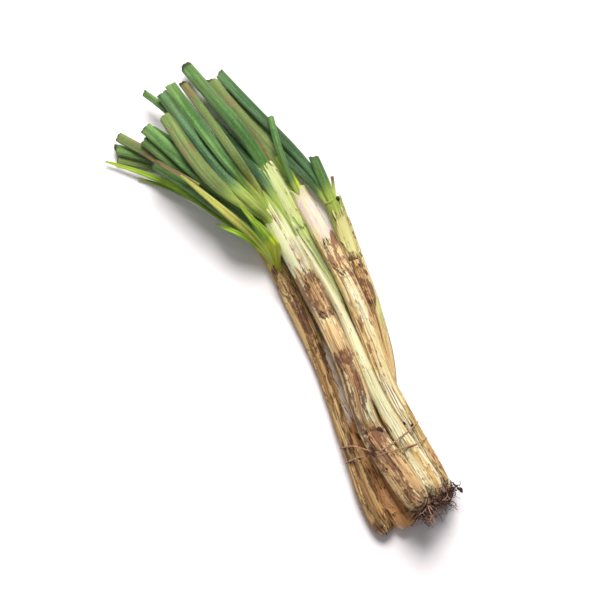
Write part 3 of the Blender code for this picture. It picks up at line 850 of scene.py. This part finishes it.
def shell(name, top, material, slot, facts, thickness=0.12 * MM):
    """A thin closed sheet from a grid of points seen from above, with `facts` for its top."""
    rows, columns = top.shape[:2]
    normal = unit(np.cross(np.gradient(top, axis=1), np.gradient(top, axis=0)), TINY)
    bottom = top - normal * thickness
    faces = np.array(grid_faces(rows, columns, wrap=False))
    below = faces[:, ::-1] + rows * columns
    number = np.arange(rows * columns).reshape(rows, columns)
    border = np.concatenate([number[0], number[1:, -1], number[-1, -2::-1], number[-2:0:-1, 0]])
    following = np.roll(border, -1)
    sides = np.stack([border, following, following + rows * columns, border + rows * columns], -1)
    quads = faces.tolist() + below.tolist() + sides.tolist()
    points = np.concatenate([top.reshape(-1, 3), bottom.reshape(-1, 3)])
    for key, value in facts.items():
        facts[key] = np.concatenate([value.reshape(rows * columns, -1)] * 2).squeeze()
    add_piece(name, points, quads, material, slot, **facts)


# Loose skins: onion, middle y in mm, angle, half length in mm, half angle, lift in mm, how
# papery, how stained.
LOOSE_SKINS = [
    (3, 59, 95, 18, 78, 0.45, 0.0, 0.05), (2, -4, 70, 13, 55, 0.35, 1.0, 0.8),
    (2, -70, 140, 26, 34, 0.4, 1.0, 0.6), (2, -118, 120, 20, 30, 0.4, 1.0, 0.7),
    (2, -122, 55, 17, 26, 0.35, 1.0, 0.5), (4, 12, 60, 12, 60, 0.35, 1.0, 0.75),
    (4, -46, 130, 24, 28, 0.35, 1.0, 0.3), (4, -112, 50, 22, 26, 0.3, 1.0, 0.3),
    (5, 20, 80, 15, 50, 0.3, 0.35, 0.15), (5, -12, 100, 13, 50, 0.3, 1.0, 0.8),
    (1, -48, 85, 22, 50, 0.35, 1.0, 0.4), (1, -116, 80, 22, 46, 0.4, 1.0, 0.5),
    (6, -128, 100, 15, 45, 0.35, 1.0, 0.3), (7, -122, 100, 16, 32, 0.3, 0.7, 0.1),
    (1, 15, 80, 9, 60, 0.3, 0.8, 0.5),
]


def ragged_edge(v, places, size, seed):
    """How far a loose skin's edge wanders, from -0.5 to 0.5, along v."""
    line = np.stack([v * places[0], v * 0 + places[1], v * 0 + seed], -1)
    return step_up(0.3, 0.7, rough_bumps(line, size, seed)) - 0.5


def build_loose_skin(number, path, material):
    """A ragged papery skin lying just off its stem, lifted a little at its edges."""
    onion, middle, angle, long, wide, lift, papery, stained = LOOSE_SKINS[number]
    u, v = np.meshgrid(np.linspace(-1, 1, int(long * 3)), np.linspace(-1, 1, 33), indexing="ij")
    u_edge = ragged_edge(v, (3, 0), 0.5, number)
    v_edge = ragged_edge(u, (4, 9), 0.8, number)
    narrowing = 1 - 0.45 * np.abs(u) ** 2.5
    s = path.length_at(middle * MM) + long * MM * u * (1 + 0.5 * u_edge * np.abs(u))
    turn = np.radians(angle + wide * v * (narrowing + 0.35 * v_edge))
    rim = np.maximum(np.abs(u), np.abs(v))
    grain = grain_of(s, turn, path.sizes.mean()) + onion * GRAIN_APART + number * 0.11
    crumple = rough_bumps(grain * np.array([1, 1, 0.3]), 2.2 * MM, number) - 0.5
    raised = (0.35 + lift * step_up(0.7, 1.0, rim)) * MM + 0.35 * MM * crumple
    top = path.skin(s, turn, raised)
    ones = np.ones(u.shape)
    facts = dict(
        grain=grain,
        paper=ones * papery,
        edge=step_up(0.9, 1.0, rim) * 0.8,
        green=ones * (1 - papery) * 0.4,
        stain=ones * stained * 0.8,
        pink=ones * (1 - papery) * 0.4,
        soil=ones * 0.6,
    )
    facts = {key: value[:, ::-1] for key, value in facts.items()}
    shell(f"loose_skin_{number + 1}", top[:, ::-1], material, SLOTS[f"onion_{onion}_stem"], facts)


def side_line(path, y, angle):
    """The line along a stem's skin at an angle in degrees, just off it, at each y."""
    return path.skin(np.array([path.length_at(v) for v in y]), np.radians(np.full(len(y), angle)), 0.1 * MM)


def build_bridge(paths, material):
    """Old skin of onion 6, drawn over the crease between it and onion 1."""
    y = np.linspace(-24, -118, 190) * MM
    left, right = side_line(paths[1], y, 52.0), side_line(paths[6], y, 78.0)
    across = np.broadcast_to(np.linspace(0, 1, 26), (190, 26))
    along = np.broadcast_to(y[:, None] / MM, across.shape)
    top = left[:, None] * (1 - across[..., None]) + right[:, None] * across[..., None]
    grain = np.stack([top[..., 0], np.zeros(across.shape), top[..., 1]], -1) + 3.1
    folds = rough_bumps(grain * np.array([1, 1, 0.08]), 1.4 * MM, 77) - 0.5
    arch = 2.6 * step_up(-100, -70, along) - 0.6
    top[..., 2] += (arch + folds * 1.6) * MM * np.sin(np.pi * across)
    ends = step_up(-24, -40, along) * step_up(-118, -106, along)
    top[..., 2] = np.maximum(top[..., 2] - 7 * MM * (1 - ends), 0.4 * MM)
    pale = step_up(-82, -76, along + 5 * np.abs(across - 0.5))
    pale = pale * step_up(1.0, 0.6, np.abs(across - 0.45) * 2)
    stain = step_up(0.45, 0.75, rough_bumps(grain * np.array([1, 1, 0.2]), 2 * MM, 3)) * 0.6
    stain = stain + np.exp(-(((along + 47) / 2) ** 2))
    zeros = np.zeros(across.shape)
    facts = dict(
        grain=grain,
        paper=1 - 0.62 * pale,
        edge=zeros,
        green=zeros,
        stain=stain * (1 - pale),
        pink=pale * 0.5,
        soil=zeros + 0.6,
    )
    facts = {key: value[::-1] for key, value in facts.items()}
    shell("skin_over_crease", top[::-1], material, SLOTS["onion_6_stem"], facts)


# ---------------------------------------------------------------- leaves


# How far past the sheath's end each onion's leaves stay pale, in mm.
LEAF_PALE = {1: 6, 2: 24, 3: 8, 4: 10, 5: 16, 6: 18, 7: 30}
# How much wider than the others a leaf is, how far its tip is sunk in mm, and how much of the
# base-to-tip colouring it shows.
LEAF_FULL = {
    "onion_1_leaf_4": 1.2, "onion_2_leaf_3": 1.15, "onion_2_leaf_4": 1.2, "onion_2_leaf_6": 1.1,
    "onion_3_leaf_1": 1.6, "onion_4_leaf_1": 1.35, "onion_4_leaf_2": 1.2, "onion_5_leaf_1": 1.2,
    "onion_5_leaf_2": 1.5, "onion_5_leaf_5": 2.4, "onion_6_leaf_4": 1.25, "onion_6_leaf_5": 1.25,
}
LEAF_SINK = {"onion_4_leaf_2": 14}
LEAF_REACH = {
    "onion_1_leaf_7": 0.7, "onion_1_leaf_8": 0.7, "onion_4_leaf_2": 0.45, "onion_5_leaf_4": 0.5,
}


def leaf_path(node, onion, stems):
    """A leaf's line, carried back into the sheath that it grew from."""
    centres, sizes = cad_rings(node)
    sunk = (centres[:, 1] - centres[0, 1]) / (centres[-1, 1] - centres[0, 1])
    centres[:, 2] -= step_up(0.15, 0.7, sunk) * LEAF_SINK.get(node, 0) * MM
    slant = np.gradient(centres[:, 0], centres[:, 1])
    sizes = sizes / np.stack([np.sqrt(1 + slant**2), np.ones(len(slant))], -1)
    stem = stems[onion]
    base = centres[0]
    root_y = min(base[1], stem.centres[-1, 1])
    root = stem.read(np.array(stem.length_at(root_y - 24 * MM)))[0]
    mouth = stem.read(np.array(stem.length_at(root_y - 3 * MM)))[0]
    if np.linalg.norm((base - mouth)[[0, 1]]) > 34 * MM:
        return Path(centres, sizes, ease=8 * MM)
    keep = centres[:, 1] > base[1] + 11 * MM
    neck = mouth * 0.85 + base * 0.15
    neck[1] = mouth[1]
    root = root - UP * 0.3 * stem.sizes[-1].mean()
    centres = np.vstack([root, neck, centres[keep]])
    start = np.minimum(sizes[keep][0], 0.8 * stem.sizes[-1].mean())
    sizes = np.vstack([start * 0.55, start * 0.85, sizes[keep]])
    return Path(centres, sizes, ease=23 * MM)


def cut_leaf_rows(path, settings, rng):
    """Lengths and turns of a leaf that was cut across, and how many rings lie outside."""
    outer = np.arange(0, path.length, settings.ring_step)
    slope = rng.uniform(-0.35, 0.35)
    lean = rng.uniform(0, 2 * np.pi)
    s, turns = np.meshgrid(outer, turns_round(settings.around), indexing="ij")
    near = step_up(path.length - 10 * MM, path.length, s)
    notch = 0.25 * MM * np.sin(turns * 5 + lean) + 0.2 * MM * np.sin(turns * 11 + 2 * lean)
    s = s + near * (slope * path.sizes[-1, 0] * 2 * np.cos(turns - lean) + notch)
    return *with_inside(s, turns, np.linspace(0, settings.mouth_depth, 12)), len(outer)


def tucked(rows, stem):
    """A leaf's rows with whatever lies below the sheath's end drawn inside the sheath."""
    y = rows[..., 1]
    centre, size, _, _ = stem.read(np.interp(y, stem.centres[:, 1], stem.at))
    away = rows - centre
    far = np.hypot(away[..., 0] / size[..., 0], away[..., 2] / size[..., 1])
    end = stem.centres[-1, 1]
    share = step_up(end - 3 * MM, end - 22 * MM, y) * (1 - np.minimum(1, 0.86 / np.maximum(far, 0.01)))
    away[..., 1] = 0
    return rows - away * share[..., None]


def build_leaf(node, stems, settings, materials):
    """A leaf with veins, from inside its sheath to its cut mouth or its point."""
    _, onion, _, number = node.split("_")
    onion = int(onion)
    path = leaf_path(node, onion, stems)
    rng = np.random.default_rng([onion, int(number)])
    s, turn, outer = cut_leaf_rows(path, settings, rng)
    pointed = path.sizes[-1, 0] < 0.5 * path.sizes[:, 0].max()
    if pointed:
        s, turn = s[:outer], turn[:outer]
    grain = grain_of(s, turn, path.sizes.mean()) + rng.uniform(0, 5)
    along = s / path.length * LEAF_REACH.get(node, 1.0)
    stem_end = stems[onion].centres[-1, 1]
    centre, size, _, up = path.read(s)
    sheath = step_up(stem_end + LEAF_PALE[onion] * MM, stem_end - 2 * MM, centre[..., 1])
    veins = rough_bumps(grain * np.array([1, 1, 0.02]), 0.7 * MM, 3) - 0.5
    flat = 1 - 0.3 * bumps(grain * np.array([0.02, 0.02, 1]), 30 * MM, 8)
    fullness = settings.fullness * LEAF_FULL.get(node, 1.0)
    scale = np.full(s.shape, fullness)
    rim = step_up(path.length - 1.2 * MM, path.length - 0.2 * MM, s)
    inside = np.zeros(s.shape)
    if not pointed:
        depth = np.arange(len(s) - outer)[:, None]
        scale[outer:] = fullness * (1 - settings.wall_share - 0.012 * depth)
        # How much painted shade lies inside the cut mouth, growing deeper in.
        inside[outer:] = step_up(0.2, 2.5, depth)
        rim[outer:] = np.where(depth == 0, 1.0, 0.0)
    rows = path.skin(s, turn, settings.vein_depth * 2 * veins, scale)
    if pointed:
        fold = 0.55 * size[..., 0] * np.exp(-((np.cos(turn) / 0.45) ** 2))
        fold = fold * np.maximum(np.sin(turn), 0)
        rows = rows - up * (fold * step_up(0.12, 0.3, along))[..., None]
    squeeze = ((rows - centre) * up).sum(-1) * (1 - flat)
    rows = rows - up * squeeze[..., None]
    if path.centres[0, 1] < stem_end:
        rows = tucked(rows, stems[onion])
    rows[..., 2] = np.maximum(rows[..., 2], 0.2 * MM)
    stain = np.clip(np.sin(along * 9 + rng.uniform(0, 6)), 0, 1)
    facts = dict(grain=grain, along=along, rim=rim, inside=inside, stain=stain, sheath=sheath)
    slot = SLOTS[node]
    tube_piece(node.replace("onion", "leaf_of"), rows, materials[slot], slot, [node], **facts)


# ---------------------------------------------------------------- roots and twine


def add_threads(name, lines, radii, sides, material, slot, node, tone_share=1.0, tip_share=0.0):
    """Many thin tapered threads as one piece, each with its own tone, lighter at its tip."""
    vertices, faces, along, tone = [], [], [], []
    turn = turns_round(sides)[:, None]
    first = 0
    for number, (line, radius) in enumerate(zip(lines, radii)):
        heading = unit(np.gradient(line, axis=0), TINY)
        side = unit(np.cross(heading, np.array([0.31, 0.17, 0.93])), TINY)
        other = np.cross(side, heading)
        ring = side[:, None] * np.cos(turn) + other[:, None] * np.sin(turn)
        vertices.append((line[:, None] + ring * radius[:, None, None]).reshape(-1, 3))
        last = first + (len(line) - 1) * sides
        faces += (np.array(grid_faces(len(line), sides)) + first).tolist()
        faces.append(tuple(range(first, first + sides)))
        faces.append(tuple(reversed(range(last, last + sides))))
        along.append(np.repeat(np.linspace(0, 1, len(line)), sides))
        tone.append(np.full(len(line) * sides, (number * 0.618) % 1.0))
        first = last + sides
    vertices = np.concatenate(vertices)
    tone = np.clip(np.concatenate(tone) * tone_share + tip_share * np.concatenate(along), 0, 1)
    grain = vertices[:, [0, 2, 1]]
    add_piece(name, vertices, faces, material, slot, [node], grain=grain, tone=tone)


def curly_line(rng, start, heading, length, curl, points=26):
    """A wandering thread that starts along `heading` and bends as it goes."""
    step = length / (points - 1)
    line = [start]
    turn = rng.normal(0, 1, 3)
    for _ in range(points - 1):
        turn = turn * 0.82 + rng.normal(0, 1, 3) * 0.55
        heading = unit(heading + curl * turn * 0.3)
        line.append(line[-1] + heading * step)
    line = np.array(line)
    line[:, 2] = np.maximum(line[:, 2], 0.6 * MM)
    return line


# Each tuft: number of roots, their length in mm, spread of their starts, curl.
TUFTS = {
    1: (9, 3.5, 0.7, 1.4), 2: (170, 16, 1.0, 1.9), 3: (80, 12, 1.0, 1.9), 4: (90, 10, 1.0, 1.9),
    5: (40, 7, 1.0, 1.8), 6: (12, 4, 0.7, 1.4), 7: (150, 16, 1.0, 1.9),
}


def build_roots(onion, path, settings, material):
    """The root tuft that hangs from a bulb's end."""
    rng = np.random.default_rng(100 + onion)
    count, length, spread, curl = TUFTS[onion]
    base, size, side, up = path.read(np.array(0.6 * MM))
    lines, radii = [], []
    for _ in range(count):
        angle, far = rng.uniform(0, 2 * np.pi), np.sqrt(rng.uniform(0, 1)) * spread
        start = base + (side * np.cos(angle) * size[0] + up * np.sin(angle) * size[1]) * far
        outward = side * np.cos(angle) * far + up * np.sin(angle) * far * 0.8
        heading = unit(np.array([0.12, -1.0, -0.05]) + outward * 1.1)
        line = curly_line(rng, start, heading, length * MM * rng.uniform(0.5, 1.15), curl)
        lines.append(line)
        radii.append(settings.radius * rng.uniform(0.6, 1.1) * np.linspace(1, 0.35, len(line)))
    node = f"onion_{onion}_roots"
    add_threads(f"roots_{onion}", lines, radii, 5, material, "roots", node, 0.9, 0.15)


def build_stray_root(material):
    """The thick root that stands off the right bulb, with soil and rootlets at its end."""
    rng = np.random.default_rng(7)
    centres, sizes = cad_rings("stray_root")
    path = Path(centres[::-1].copy(), sizes[::-1].copy())
    s = np.linspace(0, path.length, 60)
    line, size, side, _ = path.read(s)
    line = line + side * (0.25 * MM * np.sin(s * 2200))[:, None]
    wide = size[:, 0]
    clod = rough_bumps(line, 0.8 * MM, 3) * 0.4 * MM * (wide > 0.9 * MM)
    lines = [line]
    radii = [np.maximum(wide * 0.7, 0.42 * MM) + clod]
    for _ in range(14):
        start = line[rng.integers(34, 58)]
        heading = unit(rng.normal(0, 1, 3))
        lines.append(curly_line(rng, start, heading, rng.uniform(1, 2.4) * MM, 1.2, 10))
        radii.append(np.linspace(0.16, 0.06, 10) * MM)
    add_threads("stray_root_twig", lines, radii, 7, material, "roots", "stray_root", 0.35)


# Lumps of dried soil and scars: onion, y in mm, angle, radius in mm.
CLODS = [
    (2, -93, 52, 1.5), (2, -91.6, 58, 1.0), (2, 62, 130, 1.1), (2, -113, 118, 0.8),
    (4, -98, 78, 0.7), (4, -95, 120, 0.8), (5, 42, 60, 1.1), (5, 4, 150, 0.8),
    (1, -100, 60, 0.8), (4, -130, 66, 0.6),
]
CLOD_ROWS, CLOD_AROUND = 9, 16


def build_clods(paths, material):
    """Small rough lumps of soil stuck to the skins."""
    heights = np.linspace(-1.5, 1.5, CLOD_ROWS)
    rise, turn = np.meshgrid(heights, turns_round(CLOD_AROUND), indexing="ij")
    ball = np.stack([np.cos(turn) * np.cos(rise), np.sin(turn) * np.cos(rise), np.sin(rise)], -1)
    count = CLOD_ROWS * CLOD_AROUND
    vertices, faces, tone = [], [], []
    for number, (onion, y, angle, radius) in enumerate(CLODS):
        middle = side_line(paths[onion], [y * MM], float(angle))[0]
        rough = 0.7 + 0.7 * rough_bumps(ball + number, 0.7, number)
        lump = ball * rough[..., None] * np.array([1, 1.3, 0.6])
        first, end = number * count, (number + 1) * count
        vertices.append((middle + lump * radius * MM).reshape(-1, 3))
        faces += (np.array(grid_faces(CLOD_ROWS, CLOD_AROUND))[:, ::-1] + first).tolist()
        faces.append(tuple(reversed(range(first, first + CLOD_AROUND))))
        faces.append(tuple(range(end - CLOD_AROUND, end)))
        tone.append(np.full(count, 0.1 + 0.02 * number))
    vertices = np.concatenate(vertices)
    add_piece("soil_clods", vertices, faces, material, "roots", grain=vertices, tone=np.concatenate(tone))


# The twine's route: angle round the bunch in degrees (0 at +x, 90 on top) and y in mm.
TWINE_TURNS = [
    (114, -99.2), (180, -90), (270, -94), (360, -99), (474, -101), (540, -98.5), (630, -104),
    (720, -110), (830, -102.6),
]
TWINE_MIDDLE = np.array([0.5 * MM, 13 * MM])


def hull_reach(points, direction):
    """How far the outline's convex hull reaches from the twine's middle along a direction."""
    turns = np.radians(np.arange(0, 360, 3))
    normals = np.stack([np.cos(turns), np.sin(turns)], -1)
    facing = normals @ direction
    walls = ((points - TWINE_MIDDLE) @ normals.T).max(axis=0)
    return np.min(walls[facing > 1e-3] / facing[facing > 1e-3])


def twine_line(stems, radius):
    """The twine's centre line, drawn tight round the stems."""
    angles, places = np.array(TWINE_TURNS, float).T
    fine = np.linspace(angles[0], angles[-1], 520)
    y = hermite(angles, places[:, None] * MM, fine)[:, 0] - 0.5 * MM
    turn = turns_round(24)
    line = []
    for angle, place in zip(fine, y):
        points = []
        for stem in stems.values():
            centre, size, _, _ = stem.read(np.array(stem.length_at(place)))
            grow = size.mean() + radius + 0.1 * MM
            points.append(centre[[0, 2]] + grow * np.stack([np.cos(turn), np.sin(turn)], -1))
        direction = np.array([math.cos(math.radians(angle)), math.sin(math.radians(angle))])
        x, z = TWINE_MIDDLE + direction * hull_reach(np.concatenate(points), direction)
        line.append((x, place, z))
    return eased(np.array(line), 4)


def twist(line, radius, lay, ply, plies):
    """One ply of a twisted cord along a line."""
    at = lengths_along(line)
    fine = np.arange(0, at[-1], lay / 14)
    centre = hermite(at, line, fine)
    heading = unit(np.gradient(centre, axis=0))
    side = unit(np.cross(heading, np.array([0.05, 1.0, 0.08])))
    other = np.cross(side, heading)
    turn = 2 * np.pi * (fine / lay + ply / plies)
    return centre + 0.5 * radius * (side * np.cos(turn)[:, None] + other * np.sin(turn)[:, None])


def build_twine(stems, settings):
    """Two plies drawn round the stems, with loose fibres standing off them."""
    material = twine_fibre("twine_fibre", settings.twine_light, settings.twine_dark, settings.dirt)
    rng = np.random.default_rng(11)
    line = twine_line(stems, settings.radius)
    lines, radii = [], []
    for ply in range(2):
        strand = twist(line, settings.radius, settings.lay, ply, 2)
        lines.append(strand)
        radii.append(settings.radius * 0.58 * (1 + 0.15 * np.sin(np.arange(len(strand)) * 0.9)))
    for _ in range(150):
        i = rng.integers(4, len(line) - 4)
        heading = unit(line[i + 1] - line[i])
        away = unit(line[i] - np.array([TWINE_MIDDLE[0], line[i][1], TWINE_MIDDLE[1]]))
        heading = unit(heading * rng.choice([-1, 1]) + 0.7 * away + rng.normal(0, 0.35, 3))
        lines.append(curly_line(rng, line[i], heading, rng.uniform(1.0, 4.5) * MM, 0.6, 9))
        radii.append(np.linspace(0.09, 0.04, 9) * MM)
    add_threads("twine_strands", lines, radii, 6, material, "twine", "twine")
    # Painted shade: the knot is a darker copy of the twine's fibre, running from its shaded colour down to
    # the knot's darker one.
    shaded_knot_fibre = twine_fibre("knot_fibre", settings.twine_dark, settings.knot_dark, settings.dirt)
    build_knot(line, settings, shaded_knot_fibre, rng)


def build_knot(line, settings, material, rng):
    """An overhand knot with two short frayed ends, where the twine's turns meet."""
    middle = line[0] + np.array([0.4, -1.4, 0.9]) * MM
    t = np.linspace(0, 2 * np.pi, 90)
    x, y = np.sin(t) + 2 * np.sin(2 * t), 0.9 * (np.cos(t) - 2 * np.cos(2 * t))
    trefoil = np.stack([x, y, -0.8 * np.sin(3 * t)], -1)
    knot = middle + trefoil * 0.55 * MM
    lines = [twist(knot, settings.radius, settings.lay, ply, 2) for ply in range(2)]
    radii = [np.full(len(line), settings.radius * 0.6) for line in lines]
    for heading in ((-0.8, 0.55, 0.25), (0.75, 0.5, 0.4)):
        lines.append(curly_line(rng, middle, np.array(heading), 6 * MM, 0.35, 16))
        radii.append(np.linspace(0.42, 0.22, 16) * MM)
    for _ in range(60):
        heading = unit(rng.normal(0, 1, 3) * np.array([1.2, 1.2, 0.5]) + UP * 0.5)
        start = middle + rng.normal(0, 1.0, 3) * MM
        lines.append(curly_line(rng, start, heading, rng.uniform(1.5, 4.5) * MM, 0.9, 12))
        radii.append(np.linspace(0.2, 0.08, 12) * MM)
    add_threads("twine_knot_strands", lines, radii, 6, material, "twine", "twine_knot")


# ---------------------------------------------------------------- stage


KEY_PLACE, KEY_AIM, KEY_COLOUR = (0.53, 0.87, 1.31), (0, 0, 0.01), (1.0, 0.985, 0.96)
TOP_PLACE, TOP_AIM, TOP_COLOUR = (-0.10, 0.10, 1.35), (0, 0, 0), (1.0, 1.0, 1.0)
CAMERA_PLACE = (0.0019, -0.0005)
FLOOR_REACH = 2.0


def add_light(name, place, aim, colour, size, power):
    """A round soft light."""
    lamp = bpy.data.lights.new(name, "AREA")
    lamp.shape = "DISK"
    lamp.size = size
    lamp.energy = power
    lamp.color = colour
    light = bpy.data.objects.new(name, lamp)
    light.location = place
    light.rotation_euler = (Vector(aim) - Vector(place)).to_track_quat("-Z", "Y").to_euler()
    bpy.context.scene.collection.objects.link(light)


class ONION_OT_stage(bpy.types.Operator):
    """Floor, soft studio light and a camera that looks straight down on the bunch"""

    bl_idname = "onion.build_stage"
    bl_label = "Stage"

    def execute(self, context):
        settings = context.scene.onion_stage
        corners = [(x * FLOOR_REACH, y * FLOOR_REACH, 0) for x, y in ((-1, -1), (1, -1), (1, 1), (-1, 1))]
        mesh = bpy.data.meshes.new("floor")
        mesh.from_pydata(corners, [], [(0, 1, 2, 3)])
        floor = bpy.data.objects.new("floor", mesh)
        context.scene.collection.objects.link(floor)
        shader = Shader("floor_paint", Roughness=0.9, Specular_IOR_Level=0.1)
        shader.surface.inputs["Base Color"].default_value = (*linear(settings.floor_colour), 1)
        mesh.materials.append(shader.material)

        add_light("key", KEY_PLACE, KEY_AIM, KEY_COLOUR, settings.key_size, settings.key_power)
        add_light("top", TOP_PLACE, TOP_AIM, TOP_COLOUR, settings.top_size, settings.top_power)
        world = bpy.data.worlds.new("studio")
        world.use_nodes = True
        background = world.node_tree.nodes["Background"]
        background.inputs["Color"].default_value = (1, 1, 1, 1)
        background.inputs["Strength"].default_value = settings.fill
        context.scene.world = world

        camera = bpy.data.cameras.new("camera")
        camera.lens = settings.lens
        camera.sensor_width = 36
        camera.clip_start = 0.05
        view = bpy.data.objects.new("camera", camera)
        view.location = (*CAMERA_PLACE, settings.distance)
        view.rotation_euler = (0, 0, settings.roll)
        context.scene.collection.objects.link(view)
        context.scene.camera = view
        context.scene.view_settings.view_transform = "Standard"
        return {"FINISHED"}


class ONION_OT_stems(bpy.types.Operator):
    """Sheaths and bulbs with their torn papery skins"""

    bl_idname = "onion.build_stems"
    bl_label = "Stems"

    def execute(self, context):
        settings = context.scene.onion_stems
        paths = stem_paths()
        materials = {onion: sheath_skin(onion, look, settings.soil) for onion, look in STEM_LOOKS.items()}
        for onion, look in STEM_LOOKS.items():
            build_stem(onion, paths[onion], settings, look, materials[onion])
        for number, (onion, *_) in enumerate(LOOSE_SKINS):
            build_loose_skin(number, paths[onion], materials[onion])
        build_bridge(paths, materials[6])
        return {"FINISHED"}


class ONION_OT_leaves(bpy.types.Operator):
    """Hollow cut leaves and pointed young ones"""

    bl_idname = "onion.build_leaves"
    bl_label = "Leaves"

    def execute(self, context):
        settings = context.scene.onion_leaves
        stems = stem_paths()
        materials = {name: leaf_skin(name, look, settings) for name, look in LEAF_LOOKS.items()}
        for node in sorted(name for name in frame["nodes"] if "_leaf_" in name):
            build_leaf(node, stems, settings, materials)
        return {"FINISHED"}


class ONION_OT_roots(bpy.types.Operator):
    """Curly root tufts below the bulbs, and the stray root"""

    bl_idname = "onion.build_roots"
    bl_label = "Roots"

    def execute(self, context):
        settings = context.scene.onion_roots
        paths = stem_paths()
        material = root_skin(settings.dark, settings.light)
        for onion in ONIONS:
            build_roots(onion, paths[onion], settings, material)
        build_stray_root(material)
        build_clods(paths, material)
        return {"FINISHED"}


class ONION_OT_twine(bpy.types.Operator):
    """The twisted twine round the stems and its knot"""

    bl_idname = "onion.build_twine"
    bl_label = "Twine"

    def execute(self, context):
        build_twine(stem_paths(), context.scene.onion_twine)
        return {"FINISHED"}


OPERATORS = (ONION_OT_stage, ONION_OT_stems, ONION_OT_leaves, ONION_OT_roots, ONION_OT_twine)


class ONION_PT_panel(bpy.types.Panel):
    """Lists the builders and their settings"""

    bl_idname = "ONION_PT_panel"
    bl_label = "Spring onions"
    bl_space_type = "VIEW_3D"
    bl_region_type = "UI"
    bl_category = "Onions"

    def draw(self, context):
        for operator in OPERATORS:
            self.layout.operator(operator.bl_idname)
        for name, group in SETTINGS.items():
            box = self.layout.box()
            for key in group.__annotations__:
                box.prop(getattr(context.scene, name), key)


CLASSES = (*SETTINGS.values(), *OPERATORS, ONION_PT_panel)


def register():
    for item in CLASSES:
        bpy.utils.register_class(item)
    for name, group in SETTINGS.items():
        setattr(bpy.types.Scene, name, PointerProperty(type=group))


def unregister():
    for name in SETTINGS:
        delattr(bpy.types.Scene, name)
    for item in reversed(CLASSES):
        bpy.utils.unregister_class(item)


def main():
    register()
    bpy.ops.onion.build_stage()
    bpy.ops.onion.build_stems()
    bpy.ops.onion.build_leaves()
    bpy.ops.onion.build_roots()
    bpy.ops.onion.build_twine()


if __name__ == "__main__":
    main()
